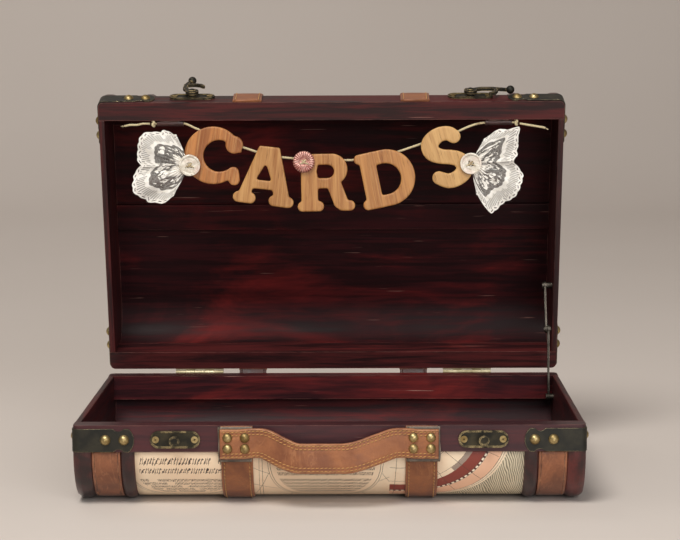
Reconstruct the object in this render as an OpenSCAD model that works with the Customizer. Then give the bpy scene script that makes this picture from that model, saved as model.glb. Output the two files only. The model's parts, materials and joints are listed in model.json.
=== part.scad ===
// Wedding card box: a small travel case that stands open, with a letter garland under its lid.
// Row frame in mm: +X to the viewer's right, -Y towards the viewer, +Z up, table at Z = 0.
// The case is drawn in case coordinates (Y = 0 midway front to back) and moved by row_y.

/* [Case] */
// overall width of the case
case_w = 400; // [340:1:460]
// front to back depth of the case
case_d = 248; // [220:1:280]
// height of each half, rim to rib crown
half_h = 66; // [56:1:80]
// outer radius of the bent plywood
bend_r = 45; // [36:1:52]
// thickness of the front and back rails
rail_t = 16; // [10:0.5:20]
// plan radius of the rail corners
rail_r = 4.5; // [2:0.5:8]
// thickness of the end panels
end_t = 5; // [3:0.5:8]
// thickness of the bent plywood
ply_t = 3; // [2:0.5:5]
// how far the ribs stand out from the plywood
rib_h = 2.4; // [1.5:0.1:4]
// gap between the closed rims
rim_gap = 0.4; // [0.3:0.1:1]
// angle of the lid from closed, in degrees
open_angle = 75.9; // [0:0.1:76]

/* [Trim] */
// width of the half-round end mouldings
mould_w = 14.4; // [8:0.1:20]
// width of the leather side patches
patch_w = 22.4; // [15:0.1:30]
// width of the inner ribs
rib_w = 11.2; // [7:0.1:16]
// width of the vertical straps
strap_w = 25; // [18:0.5:32]
// half distance between the straps
strap_x = 72; // [60:1:90]
// thickness of the straps on the rails
strap_t = 2; // [1:0.1:3]
// length of a bracket's front leg
bracket_len = 48; // [36:1:60]
// length of a bracket's end leg
bracket_end = 40; // [30:1:50]
// thickness of the bracket metal
bracket_t = 0.9; // [0.5:0.1:1.5]
// radius of the bracket tacks
tack_r = 4.15; // [3:0.05:5]

/* [Handle] */
// half length of the handle band
handle_x = 85; // [75:1:95]
// width of the band
handle_w = 23.6; // [18:0.2:30]
// thickness of the band
handle_t = 3.4; // [2:0.1:5]
// how far the middle hangs down
handle_sag = 10; // [0:0.5:16]
// how far the middle bows out
handle_bow = 8; // [6:0.5:14]

/* [Latches] */
// half distance between the latches
latch_x = 120; // [105:1:130]
// keeper stud below the base rim
stud_drop = 11; // [9:0.1:13]
// latch pivot above the lid rim
pivot_rise = 15.2; // [13:0.1:16]
// length of a latch plate
plate_l = 39; // [34:0.5:44]
// width of a latch plate
plate_w = 13.6; // [11:0.2:16]
// underside of a hook above the rail face
hook_z = 3.7; // [3.6:0.1:4.2]
// thickness of a hook
hook_t = 2.8; // [2:0.1:3]

/* [Hinges and stay] */
// half distance between the hinges
hinge_x = 120; // [100:1:140]
// length of a hinge
hinge_l = 43; // [36:1:50]
// hinge axis behind the back face
hinge_y = 3.4; // [3:0.1:4]
// lower stay pivot, Y in case coordinates
stay_by = 100; // [96:0.5:102]
// lower stay pivot, Z
stay_bz = 48; // [44:0.5:56]
// upper stay pivot on the closed lid, Y
stay_ly = 50; // [44:0.5:56]
// upper stay pivot on the closed lid, Z
stay_lz = 80; // [76:0.5:88]
// length of the lower stay link
stay_b = 60; // [44:0.5:66]
// link length spare when the stay is open
stay_bend = 1; // [0.3:0.1:2]

/* [Garland] */
// garland axis on the closed lid, Y
cord_cy = -104.8; // [-105:0.1:-100]
// garland axis on the closed lid, Z
cord_cz = 68.4; // [68:0.1:72]
// radius of the hemp cord
cord_r = 1.0; // [0.6:0.1:1.6]
// radius of a knot at the cord's ends
knot_r = 2.8; // [2:0.1:3]
// length of a sleeve that holds the cord
sleeve_l = 23; // [14:1:24]
// thickness of the wooden letters
letter_t = 4.4; // [3:0.1:7]

/* [Hidden] */
$fn = 64;
row_y = -22;
e = 0.01;
w2 = case_w / 2;
d2 = case_d / 2;
rail_h = half_h - bend_r;
shut_z = 2 * half_h + rim_gap;
hz = half_h + rim_gap / 2;
hy = d2 + hinge_y;
ply_out = rib_h;
paper_t = 0.3;
rib_x = w2 - mould_w - patch_w - rib_w;
strap_out = 0.2;
stud_z = half_h - stud_drop;
pivot_z = half_h + rim_gap + pivot_rise;
// where a point of the closed lid goes when the lid is open, in case coordinates
function opened(y, z) = [hy + (y - hy) * cos(open_angle) + (z - hz) * sin(open_angle),
    hz - (y - hy) * sin(open_angle) + (z - hz) * cos(open_angle)];
cord_at = opened(cord_cy, cord_cz);
stay_top = opened(stay_ly, stay_lz);
stay_dy = stay_top[0] - stay_by;
stay_dz = stay_top[1] - stay_bz;
stay_d = sqrt(stay_dy * stay_dy + stay_dz * stay_dz);
stay_l = stay_d + stay_bend - stay_b;
stay_a = (stay_b * stay_b - stay_l * stay_l + stay_d * stay_d) / (2 * stay_d);
stay_h = sqrt(max(0, stay_b * stay_b - stay_a * stay_a));
// the garland's routes from its axis: across, up, towards the viewer; the first and last points only aim
cord_route = [[-164, 0, 0], [-153, 0, 0], [-143, 0, 0], [-133, 0, 0], [-126, 0, 0], [-117, -4, 0],
    [-108, -8, 0], [-99, -12, 0], [-90, -15, 0], [-81, -19, 0], [-72, -22, 0], [-63, -25, 0],
    [-54, -27, 0], [-45, -29, 0], [-36, -30, 0], [-27, -31, 0], [-18, -32, 0], [-9, -32, 0], [0, -32, 0],
    [9, -32, 0], [18, -32, 0], [27, -31, 0], [36, -30, 0], [45, -28, 0], [54, -26, 0], [63, -23, 0],
    [72, -20, 0], [81, -17, 0], [90, -14, 0], [99, -11, 0], [108, -8, 0], [117, -4, 0], [126, -1, 0],
    [135, 0, 0], [144, 0, 0], [152, 0, 0], [159, 0, 0], [168, 0, 0]];
knots = [-153, 159];
tail_routes = [[[-148, 0, 0], [-156, 0, 0], [-162, 0, 1], [-167, -1, 1], [-173, -1, 1], [-178, -2, 0],
    [-184, -3, 0]], [[154, 0, 0], [162, -1, 0], [168, -2, 1], [174, -3, 1], [180, -4, 1], [184, -5, 0],
    [190, -8, 0]]];
sleeve_bore = cord_r + 0.6;
sleeve_r = cord_r + 1.3;
// middles and half widths of the S's stroke, from its upper end to its lower one
s_line = [[10.6, 15.6, 6], [7.1, 19.2, 6.2], [0.7, 20.7, 6.3], [-6.1, 19, 6.9], [-11.4, 14.3, 7.5],
    [-11, 7.3, 7.2], [-4.9, 2.3, 6.4], [2.3, -0.5, 6.3], [8.6, -4.1, 6.6], [12.3, -10.5, 7.3],
    [9.8, -16.5, 7.1], [3.2, -19.8, 6.6], [-4.8, -19.8, 6.4], [-11.8, -14.9, 5.8]];
letter_z = cord_r + 0.1;
elbow = [stay_by + stay_dy / stay_d * stay_a - stay_dz / stay_d * stay_h,
    stay_bz + stay_dz / stay_d * stay_a + stay_dy / stay_d * stay_h];

wood = [0.26, 0.10, 0.09];
dark = [0.16, 0.08, 0.07];
hide = [0.62, 0.38, 0.24];
patchc = [0.55, 0.35, 0.23];
paper = [0.90, 0.80, 0.68];
bronze = [0.22, 0.21, 0.15];
gold = [0.70, 0.60, 0.35];
steel = [0.60, 0.60, 0.58];
honey = [0.72, 0.52, 0.30];
lacec = [0.95, 0.94, 0.90];

// which piece to show

// ---- frames ----
module base() translate([0, row_y, 0]) children();
module lid_shut() translate([0, row_y + hy, hz]) rotate([-open_angle, 0, 0])
    translate([0, -hy, -hz]) children();
module lid() lid_shut() translate([0, 0, shut_z]) mirror([0, 0, 1]) children();
module both(x) { translate([-x, 0, 0]) children(); translate([x, 0, 0]) children(); }
module sides() { children(); mirror([1, 0, 0]) children(); }
module block(x0, x1, y0, y1, z0, z1) translate([x0, y0, z0]) cube([x1 - x0, y1 - y0, z1 - z0]);
// a placement on a front face: local x across, local y up, local z out of the face
module on_front(x, z) translate([x, -d2, z]) rotate([90, 0, 0]) children();

// ---- wrapped sections: r0 and r1 are insets from the rib crown ----
module bend(r0, r1, x0, x1, s) intersection() {
    translate([x0, s * (d2 - bend_r), bend_r]) rotate([0, 90, 0]) difference() {
        cylinder(r = bend_r - r0, h = x1 - x0, $fn = 96);
        translate([0, 0, -1]) cylinder(r = bend_r - r1, h = x1 - x0 + 2, $fn = 96);
    }
    translate([x0 - 1, s > 0 ? d2 - bend_r : -d2 - 1, -1]) cube([x1 - x0 + 2, bend_r + 1, bend_r + 1]);
}
module wrap(r0, r1, x0, x1) union() {
    bend(r0, r1, x0, x1, -1);
    block(x0, x1, -(d2 - bend_r), d2 - bend_r, r0, r1);
    bend(r0, r1, x0, x1, 1);
}
// a half-round strip with a worn crown, drawn across the ply: x is the radius, y the width
module crown2d(w, h) {
    rs = (w * w / 4 + (h + 0.25) * (h + 0.25)) / (2 * (h + 0.25));
    intersection() {
        translate([bend_r + 0.25 - rs, 0]) circle(rs, $fn = 96);
        translate([bend_r - h, -w / 2]) square([h, w]);
    }
}
module half_round(xc, w, h) translate([xc, 0, 0]) {
    for (s = [0, 1]) mirror([0, s, 0]) translate([0, d2 - bend_r, bend_r]) rotate([0, 90, 0])
        rotate_extrude(angle = 90, $fn = 96) crown2d(w, h);
    translate([0, d2 - bend_r, bend_r]) multmatrix([[0, 1, 0, 0], [0, 0, -1, 0], [-1, 0, 0, 0]])
        linear_extrude(2 * (d2 - bend_r)) crown2d(w, h);
}

// ---- the parts that both halves share, drawn rim up ----
module front_rail() translate([0, 0, bend_r]) linear_extrude(rail_h) union() {
    translate([-w2 + rail_r, -d2]) square([case_w - 2 * rail_r, rail_t]);
    translate([-w2, -d2 + rail_r]) square([case_w, rail_t - rail_r]);
    for (s = [-1, 1]) translate([s * (w2 - rail_r), -d2 + rail_r]) circle(rail_r);
}
module back_rail() mirror([0, 1, 0]) front_rail();
module end_panel() translate([w2 - end_t, 0, 0]) rotate([90, 0, 90]) linear_extrude(end_t) union() {
    translate([-d2 + rail_t, bend_r - 1]) square([case_d - 2 * rail_t, rail_h + 1]);
    intersection() {
        union() {
            translate([-(d2 - bend_r), ply_out]) square([case_d - 2 * bend_r, bend_r]);
            for (s = [-1, 1]) translate([s * (d2 - bend_r), bend_r]) circle(bend_r - ply_out, $fn = 96);
        }
        translate([-d2, 0]) square([case_d, bend_r]);
    }
}
module shell_front() union() {
    bend(ply_out, ply_out + ply_t, -w2 + end_t, w2 - end_t, -1);
    block(-w2 + end_t, w2 - end_t, -(d2 - bend_r), -0.1, ply_out, ply_out + ply_t);
}
module shell_back() mirror([0, 1, 0]) shell_front();
module batten() block(-w2 + end_t, w2 - end_t, -12, 12, ply_out + ply_t, ply_out + ply_t + 4);
module print_panel() wrap(ply_out - paper_t, ply_out, -rib_x, rib_x);
module ribs() sides() half_round(rib_x + rib_w / 2, rib_w, rib_h);
module mouldings() sides() half_round(w2 - mould_w / 2, mould_w, rib_h);
module patches() sides() wrap(ply_out - 1.2, ply_out, w2 - mould_w - patch_w, w2 - mould_w);
module strap() translate([strap_x, 0, 0]) {
    wrap(strap_out, ply_out - paper_t, -strap_w / 2, strap_w / 2);
    for (s = [0, 1]) mirror([0, s, 0]) {
        block(-strap_w / 2, strap_w / 2, -d2 - strap_t, -d2, bend_r - 3, half_h - 0.4 + 0.2 * s);
        block(-strap_w / 2, strap_w / 2, -d2 - 1, -d2 + 1.5, bend_r - 3, bend_r);
    }
}
// a bracket leg in the face plane: x from the case corner, y height
module leg2d(len) {
    zc = bend_r + 9.2;
    difference() {
        union() {
            translate([rail_r - e, zc - 9.2]) square([len - 12.3 - rail_r, 18.4]);
            intersection() {
                translate([len - 12.3, zc]) circle(12.3);
                translate([len - 13, zc - 9.2]) square([13.5, 18.4]);
            }
        }
        for (s = [-1, 1]) translate([len - 12.2, zc + s * 12]) circle(4.9);
    }
}
// bracket on the right front corner
module bracket() {
    translate([w2, -d2, 0]) rotate([90, 0, 0]) linear_extrude(bracket_t) mirror([1, 0]) leg2d(bracket_len);
    translate([w2, -d2, 0]) rotate([90, 0, 90]) linear_extrude(bracket_t) leg2d(bracket_end);
    intersection() {
        translate([w2 - rail_r, -d2 + rail_r, bend_r]) difference() {
            cylinder(r = rail_r + bracket_t, h = 18.4);
            translate([0, 0, -1]) cylinder(r = rail_r, h = 21);
        }
        translate([w2 - rail_r, -d2 - 2, 0]) cube([rail_r + 2, rail_r + 2, half_h]);
    }
}
module corners() for (s = [0, 1], t = [0, 1]) mirror([s, 0, 0]) mirror([0, t, 0]) children();
module dome(r, h) {
    rs = (r * r + h * h) / (2 * h);
    intersection() {
        translate([0, 0, h - rs]) sphere(rs);
        cylinder(r = r + 1, h = h + 1);
    }
}
module corner_tacks() corners() {
    for (u = [25.5, 40]) translate([w2 - u, -d2 - bracket_t, bend_r + 9.6]) rotate([90, 0, 0])
        dome(tack_r, 3);
    for (u = [19, 32]) translate([w2 + bracket_t, -d2 + u, bend_r + 9.6]) rotate([0, 90, 0])
        dome(tack_r, 3);
}
module screw_head(r, h) difference() {
    cylinder(r = r, h = h);
    for (a = [0, 90]) rotate([0, 0, a + 20]) translate([-r * 0.62, -0.35, h - 0.45])
        cube([r * 1.24, 0.7, 1]);
}
module stadium(l, w) union() {
    translate([-(l - w) / 2, -w / 2]) square([l - w, w]);
    for (s = [-1, 1]) translate([s * (l - w) / 2, 0]) circle(w / 2);
}
module latch_plate() {
    linear_extrude(1.1) stadium(plate_l, plate_w);
    translate([0, 0, 1.1 - e]) linear_extrude(0.7) difference() {
        stadium(plate_l, plate_w);
        stadium(plate_l - 2.2, plate_w - 2.2);
    }
}
module hinge_leaf(first) translate([hinge_x, 0, 0]) difference() {
    union() {
        block(-hinge_l / 2, hinge_l / 2, d2, d2 + 1.1, half_h - 14, half_h - 0.3);
        for (i = [first : 2 : 4]) translate([-hinge_l / 2 + i * hinge_l / 5, 0, 0]) {
            block(0.15, hinge_l / 5 - 0.15, d2, hy, hz - 2, hz - 1.15);
            translate([0.15, hy, hz]) rotate([0, 90, 0]) cylinder(r = 2, h = hinge_l / 5 - 0.3);
        }
    }
    translate([-hinge_l, hy, hz]) rotate([0, 90, 0]) cylinder(r = 1.06, h = 2 * hinge_l);
}
module leaf_screws() for (x = [-13, 13]) translate([hinge_x + x, d2 + 1.1, half_h - 8])
    rotate([-90, 0, 0]) screw_head(2, 0.6);

// ---- base ----
module base_front_rail() color(wood) base() front_rail();
module base_back_rail() color(wood) base() back_rail();
module base_end_left() color(wood) base() mirror([1, 0, 0]) end_panel();
module base_end_right() color(wood) base() end_panel();
module base_shell_front() color(wood) base() shell_front();
module base_shell_back() color(wood) base() shell_back();
module base_batten() color(wood) base() batten();
module base_print_panel() color(paper) base() print_panel();
module base_ribs() color(dark) base() ribs();
module base_mouldings() color(dark) base() mouldings();
module base_patches() color(patchc) base() patches();
module base_strap_left() color(hide) base() mirror([1, 0, 0]) strap();
module base_strap_right() color(hide) base() strap();
module base_brackets() color(bronze) base() corners() bracket();
module base_tacks() color(gold) base() corner_tacks();
module keeper_plates() color(bronze) base() for (s = [-1, 1]) on_front(s * latch_x, stud_z) latch_plate();
module keeper_studs() color(gold) base() for (s = [-1, 1]) on_front(s * latch_x, stud_z) difference() {
    union() {
        translate([0, 0, 1.1]) cylinder(r = 2.5, h = 6.4);
        translate([0, 0, 7.4]) cylinder(r = 4, h = 1.6);
    }
    translate([0, 0, 8.5]) cylinder(r = 2.9, h = 2);
}
module keeper_screws() color(gold) base() for (s = [-1, 1], t = [-1, 1])
    on_front(s * latch_x + t * 15.2, stud_z) translate([0, 0, 1.1]) screw_head(2.7, 1);
module hinge_leaves_base() color(gold) base() sides() hinge_leaf(0);
module hinge_pins() color(gold) base() sides() translate([hinge_x - hinge_l / 2 + 0.1, hy, hz])
    rotate([0, 90, 0]) cylinder(r = 1, h = hinge_l - 0.2);
module hinge_screws_base() color(gold) base() sides() leaf_screws();

// ---- handle ----
function ease(t) = let (u = max(0, min(1, t))) u * u * (3 - 2 * u);
// height and front-to-back place of the band's centre line at x
function band_z(x) = half_h - 2.6 - handle_w / 2 - handle_sag * ease((52 - abs(x)) / 32)
    + 1.0 * ease((70 - abs(x)) / 12) * ease((abs(x) - 40) / 12);
function band_y(x) = -d2 - strap_t - handle_t / 2 - 0.05 - handle_bow * ease((60 - abs(x)) / 42);
module handle_band() color(hide) base() {
    n = 44;
    xs = [for (i = [0 : n]) -handle_x + 2 * handle_x * i / n];
    pts = [for (x = xs, k = [[-1, -1], [1, -1], [1, 1], [-1, 1]])
        [x, band_y(x) + k[0] * handle_t / 2, band_z(x) + k[1] * handle_w / 2]];
    side = [for (i = [0 : n - 1], k = [0 : 3]) [4 * i + k, 4 * i + 4 + k, 4 * i + 4 + (k + 1) % 4,
        4 * i + (k + 1) % 4]];
    polyhedron(pts, concat(side, [[0, 1, 2, 3]], [[4 * n + 3, 4 * n + 2, 4 * n + 1, 4 * n]]));
}
module handle_tacks() color(gold) base() for (s = [-1, 1], x = [65.5, 79], z = [9, 17.6])
    translate([s * x, band_y(85) - handle_t / 2, half_h - z]) rotate([90, 0, 0]) dome(3.9, 2.8);

// ---- lid ----
module lid_front_rail() color(wood) lid() front_rail();
module lid_back_rail() color(wood) lid() back_rail();
module lid_end_left() color(wood) lid() mirror([1, 0, 0]) end_panel();
module lid_end_right() color(wood) lid() end_panel();
module lid_shell_front() color(wood) lid() shell_front();
module lid_shell_back() color(wood) lid() shell_back();
module lid_batten() color(wood) lid() batten();
module lid_print_panel() color(paper) lid() print_panel();
module lid_ribs() color(dark) lid() ribs();
module lid_mouldings() color(dark) lid() mouldings();
module lid_patches() color(patchc) lid() patches();
module lid_strap_left() color(hide) lid() mirror([1, 0, 0]) strap();
module lid_strap_right() color(hide) lid() strap();
module lid_brackets() color(bronze) lid() corners() bracket();
module lid_tacks() color(gold) lid() corner_tacks();
module hinge_leaves_lid() color(gold) lid() sides() hinge_leaf(1);
module hinge_screws_lid() color(gold) lid() sides() leaf_screws();

// ---- latches ----
module latch_plates() color(bronze) lid_shut() for (s = [-1, 1]) on_front(s * latch_x, pivot_z) {
    latch_plate();
    cylinder(r = 3.4, h = 3.4);
    cylinder(r = 1.9, h = 7);
    translate([0, 0, 6.9]) dome(3.2, 1.3);
}
module latch_screws() color(gold) lid_shut() for (s = [-1, 1], t = [-1, 1])
    on_front(s * latch_x + t * 15.2, pivot_z) translate([0, 0, 1.1]) screw_head(2.7, 1);
// a flat strip along points, w wide in each stretch, with joints a touch wider than the strip
module strip(p, w) {
    for (i = [0 : len(p) - 2]) let (d = p[i + 1] - p[i]) translate(p[i]) rotate(atan2(d[1], d[0]))
        translate([0, -w[i] / 2]) square([norm(d), w[i]]);
    for (i = [1 : len(p) - 1]) translate(p[i]) circle(w[i - 1] / 2 + 0.05, $fn = 32);
}
module hook() difference() {
    union() {
        translate([0, 0, hook_z]) cylinder(r = 5.6, h = hook_t);
        translate([0, 0, hook_z]) linear_extrude(hook_t)
            strip([[2, 3.2], [10, 6.8], [20, 6.6], [27, 4.8], [32.5, 2.9]], [3.6, 3.4, 2.8, 2.4]);
        translate([0, 0, hook_z]) linear_extrude(hook_t)
            strip([[20.4, 6], [22.1, -1], [20.2, -6.2], [16.6, -8.8]], [3, 2.8, 2.4]);
        translate([34.4, 2.2, hook_z + 1.9]) sphere(3.6);
    }
    cylinder(r = 1.98, h = 12);
}
module latch_hook_left() color(bronze) lid_shut() on_front(-latch_x, pivot_z) rotate([0, 0, 90]) hook();
module latch_hook_right() color(bronze) lid_shut() on_front(latch_x, pivot_z) hook();

// ---- folding stay on the right end ----
module link(p, q, x, t) translate([x, 0, 0]) rotate([90, 0, 90]) linear_extrude(t) {
    a = atan2(q[1] - p[1], q[0] - p[0]);
    difference() {
        union() {
            translate(p) rotate(a) translate([0, -3]) square([norm(q - p), 6]);
            translate(p) circle(3.6);
            translate(q) circle(3.6);
        }
        translate(p) circle(1.56);
    }
}
module stud_x(p, x, r, h) translate([x, p[0], p[1]]) rotate([0, 90, 0]) cylinder(r = r, h = h);
module stay_screw_base() color(steel) base() {
    stud_x([stay_by, stay_bz], 191.9, 2.8, 3.1);
    stud_x([stay_by, stay_bz], 189.4, 1.5, 4);
    stud_x([stay_by, stay_bz], 188.6, 3, 1.2);
}
module stay_lower_link() color(steel) base() {
    link([stay_by, stay_bz], elbow, 190.1, 1.5);
    stud_x(elbow, 191.6 - e, 2.6, 1.2);
}
module stay_screw_lid() color(steel) base() {
    stud_x(stay_top, 190, 2.8, 5);
    stud_x(stay_top, 187, 1.5, 4);
    stud_x(stay_top, 186.6, 3, 1.1);
}
module stay_upper_link() color(steel) base() {
    link(stay_top, elbow, 188.1, 1.5);
    stud_x(elbow, 187, 2.6, 1.2);
}

// ---- the straps' short bends over the hinge line ----
module strap_bridges() color(hide) base() both(strap_x) translate([-strap_w / 2 + 0.5, d2, half_h])
    rotate([90, 0, 90]) linear_extrude(strap_w - 1) polygon([[0, -0.2], [strap_t, -0.2],
        [strap_t + 0.25, 0.8], [strap_t + 0.85, 1.4], [strap_t + 0.35, 3.35], [1, 2.7], [0.2, 1.4]]);

// ---- garland: drawn hanging, x across, y height, z towards the viewer, from the cord's axis ----
module hang() base() translate([0, cord_at[0], cord_at[1]]) rotate([90, 0, 0]) children();
module cord_sleeves() color([0.25, 0.12, 0.08]) {
    lid_shut() for (x = [-138.4, 143.8]) translate([x, cord_cy, cord_cz]) difference() {
        union() {
            translate([-sleeve_l / 2, 0, 0]) rotate([0, 90, 0]) cylinder(r = sleeve_r, h = sleeve_l);
            block(-3, 3, -d2 + rail_t - cord_cy, -sleeve_r / 2, -1.3, 1.3);
        }
        translate([-sleeve_l, 0, 0]) rotate([0, 90, 0]) cylinder(r = sleeve_bore, h = 2 * sleeve_l);
    }
}
// a smooth line through points, s steps between each two
function cat(a, b, c, d, t) = 0.5 * (2 * b + (c - a) * t + (2 * a - 5 * b + 4 * c - d) * t * t
    + (3 * b - a - 3 * c + d) * t * t * t);
function smooth_line(p, s) = [for (i = [1 : len(p) - 3], k = [0 : s - 1])
    cat(p[i - 1], p[i], p[i + 1], p[i + 2], k / s), p[len(p) - 2]];
// a round cord along points in the hanging plane; q is the points' depth towards the viewer
module cord(p, r, m) {
    n = len(p);
    pts = [for (i = [0 : n - 1]) let (d = p[min(n - 1, i + 1)] - p[max(0, i - 1)],
        u = [-d[1], d[0], 0] / norm([d[0], d[1]])) each
        [for (k = [0 : m - 1]) p[i] + r * (cos(360 * k / m) * u + sin(360 * k / m) * [0, 0, 1])]];
    side = [for (i = [0 : n - 2], k = [0 : m - 1]) [m * i + k, m * i + m + k,
        m * i + m + (k + 1) % m, m * i + (k + 1) % m]];
    polyhedron(pts, concat(side, [[for (k = [0 : m - 1]) k]],
        [[for (k = [0 : m - 1]) m * n - 1 - k]]));
}
module garland_cord() color([0.75, 0.62, 0.42]) hang() cord(smooth_line(cord_route, 2), cord_r, 8);
module garland_knots() color([0.75, 0.62, 0.42]) hang() for (k = [0, 1]) {
    translate([knots[k], 0, 0]) sphere(knot_r, $fn = 32);
    cord(smooth_line(tail_routes[k], 2), cord_r, 8);
}
module plate(c, a) hang() translate([c[0], c[1] - cord_at[1], letter_z]) rotate([0, 0, a])
    linear_extrude(letter_t) children();
module box2(x0, y0, x1, y1) translate([x0, y0]) square([x1 - x0, y1 - y0]);
module dot(p, r) translate(p) circle(r, $fn = 32);
module limb(p, q, r) hull() { dot(p, r); dot(q, r); }
// corners sanded round, inside and outside
module sanded() offset(r = 1.3, $fn = 24) offset(r = -2.6, $fn = 24) offset(r = 1.3, $fn = 24) children();
module letter_c() color(honey) plate([-101.6, 264.7], -9) sanded() union() {
    difference() {
        circle(24.8, $fn = 72);
        translate([5.2, 0.3]) circle(13.6, $fn = 56);
        polygon([[8, 3], [13, 5.5], [40, 5.5], [40, -12], [17, -11.5], [8, -8]]);
    }
    dot([16.6, 11.6], 7.6);
    limb([19.2, -12], [21, -18], 4.9);
}
module letter_a() color(honey) plate([-56, 246.9], -6.6) sanded() union() {
    difference() {
        polygon([[-8.6, 25.2], [9, 25.2], [22.6, -20], [9, -20], [6.6, -11.9], [-10.4, -11.9],
            [-12.6, -20], [-23.6, -20]]);
        polygon([[-8.6, -4.2], [4.9, -4.2], [-1.4, 10.6]]);
    }
    limb([-22.2, -20.4], [-11.8, -20.6], 4.7);
    limb([8.8, -20.8], [21.2, -21], 4.7);
}
module letter_r() color(honey) plate([-4.8, 240.9], 1) sanded() difference() {
    union() {
        box2(-21.4, -22, -6.9, 22);
        limb([-20.4, -20.4], [-6.3, -20.4], 4.4);
        limb([-20.4, 20.4], [-10, 20.4], 4.4);
        limb([0, 11.3], [5.4, 11.3], 13.5);
        box2(-12, -5, 7, 24.8);
        limb([7.5, -3], [12.6, -17], 6.3);
        limb([14, -20], [20.3, -20.2], 4.6);
    }
    limb([-2, 9.6], [1.6, 9.6], 5.7);
    box2(-6.9, 3.9, 1.6, 15.3);
}
module letter_d() color(honey) plate([45.9, 244.1], 11.5) sanded() difference() {
    union() {
        box2(-19, -20, -4, 21);
        limb([-18.8, 20.4], [-5, 20.6], 4.3);
        limb([-18.4, -19.6], [-5, -19.6], 4.4);
        intersection() {
            translate([2, 0.5]) circle(24.4, $fn = 72);
            box2(-8, -26, 30, 26);
        }
        box2(-8, 14, 2, 24.9);
        box2(-8, -23.9, 2, -14);
    }
    intersection() {
        translate([0.6, -0.3]) circle(13.4, $fn = 56);
        box2(-4.9, -13.7, 20, 13.1);
    }
    box2(-4.9, -13.7, 1, 13.1);
}
module letter_s() color([0.80, 0.66, 0.44]) plate([99.5, 262.3], 17) {
    n = len(s_line);
    p = smooth_line(concat([2 * s_line[0] - s_line[1]], s_line, [2 * s_line[n - 1] - s_line[n - 2]]), 3);
    m = len(p);
    way = [for (i = [0 : m - 1]) let (d = p[min(m - 1, i + 1)] - p[max(0, i - 1)]) atan2(d[1], d[0])];
    offset(r = -0.6, $fn = 16) offset(r = 0.6, $fn = 16) polygon(concat(
        [for (i = [0 : m - 1]) [p[i][0], p[i][1]] + p[i][2] * [cos(way[i] + 90), sin(way[i] + 90)]],
        [for (k = [1 : 8]) [p[m - 1][0], p[m - 1][1]] + p[m - 1][2]
            * [cos(way[m - 1] + 90 - 20 * k), sin(way[m - 1] + 90 - 20 * k)]],
        [for (i = [m - 1 : -1 : 0]) [p[i][0], p[i][1]] + p[i][2] * [cos(way[i] - 90), sin(way[i] - 90)]],
        [for (k = [1 : 8]) [p[0][0], p[0][1]] + p[0][2]
            * [cos(way[0] - 90 - 20 * k), sin(way[0] - 90 - 20 * k)]]));
}
// one lace lobe: a pleated fan with a scalloped edge
module lobe(dir, len, half) rotate(dir) union() {
    polygon([[-2, -3], [len * cos(half), -len * sin(half)], [len, 0], [len * cos(half), len * sin(half)],
        [-2, 3]]);
    for (a = [-half : half / 2 : half]) rotate(a) translate([len - 2, 0])
        circle(len * sin(half / 2) * 0.42);
}
module bow(c) hang() translate([c[0], c[1] - cord_at[1], letter_z + letter_t + 0.1])
    linear_extrude(0.8) union() { circle(4); children(); }
module lace_bows() color(lacec) {
    bow([-122, 256.5]) { lobe(160, 43, 20); lobe(208, 47, 27); }
    bow([119.8, 257]) { lobe(24, 43, 17); lobe(-44, 45, 30); }
}
module button(c, r) hang() translate([c[0], c[1] - cord_at[1], letter_z + letter_t + 1]) difference() {
    cylinder(r = r, h = 2.8);
    translate([0, 0, 2]) cylinder(r = r - 1.8, h = 2);
    for (a = [0 : 90 : 270]) rotate([0, 0, a + 45]) translate([2, 0, -1]) cylinder(r = 0.8, h = 5, $fn = 24);
}
module pearl_buttons() color([0.93, 0.92, 0.86]) {
    button([-121.7, 256.5], 9.2);
    button([119.7, 257.2], 9.2);
}
module rose_button() color([0.78, 0.52, 0.44]) button([-23.6, 259], 9.5);

base_front_rail();
base_back_rail();
base_end_left();
base_end_right();
base_shell_front();
base_shell_back();
base_batten();
base_print_panel();
base_ribs();
base_mouldings();
base_patches();
base_strap_left();
base_strap_right();
base_brackets();
base_tacks();
handle_band();
handle_tacks();
keeper_plates();
keeper_studs();
keeper_screws();
hinge_leaves_base();
hinge_pins();
hinge_screws_base();
stay_screw_base();
stay_lower_link();
strap_bridges();
lid_front_rail();
lid_back_rail();
lid_end_left();
lid_end_right();
lid_shell_front();
lid_shell_back();
lid_batten();
lid_print_panel();
lid_ribs();
lid_mouldings();
lid_patches();
lid_strap_left();
lid_strap_right();
lid_brackets();
lid_tacks();
latch_plates();
latch_screws();
latch_hook_left();
latch_hook_right();
hinge_leaves_lid();
hinge_screws_lid();
stay_screw_lid();
stay_upper_link();
cord_sleeves();
garland_cord();
garland_knots();
letter_c();
letter_a();
letter_r();
letter_d();
letter_s();
lace_bows();
pearl_buttons();
rose_button();
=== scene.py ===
# %% [markdown]
# # A wedding card box
# A small travel case of bent plywood stands open with its lid leaning on a folding stay. A garland of
# wooden letters, lace and buttons hangs under the lid. The hard parts come from the CAD frame and keep
# their shape. This lesson gives them real finishes and builds what is soft or fine around them: the
# leather, the printed paper, the twisted cord and the lace.

# %% Load the frame
import json
import math
import random

import bmesh
import bpy
from mathutils import Matrix, Vector, noise


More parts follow.
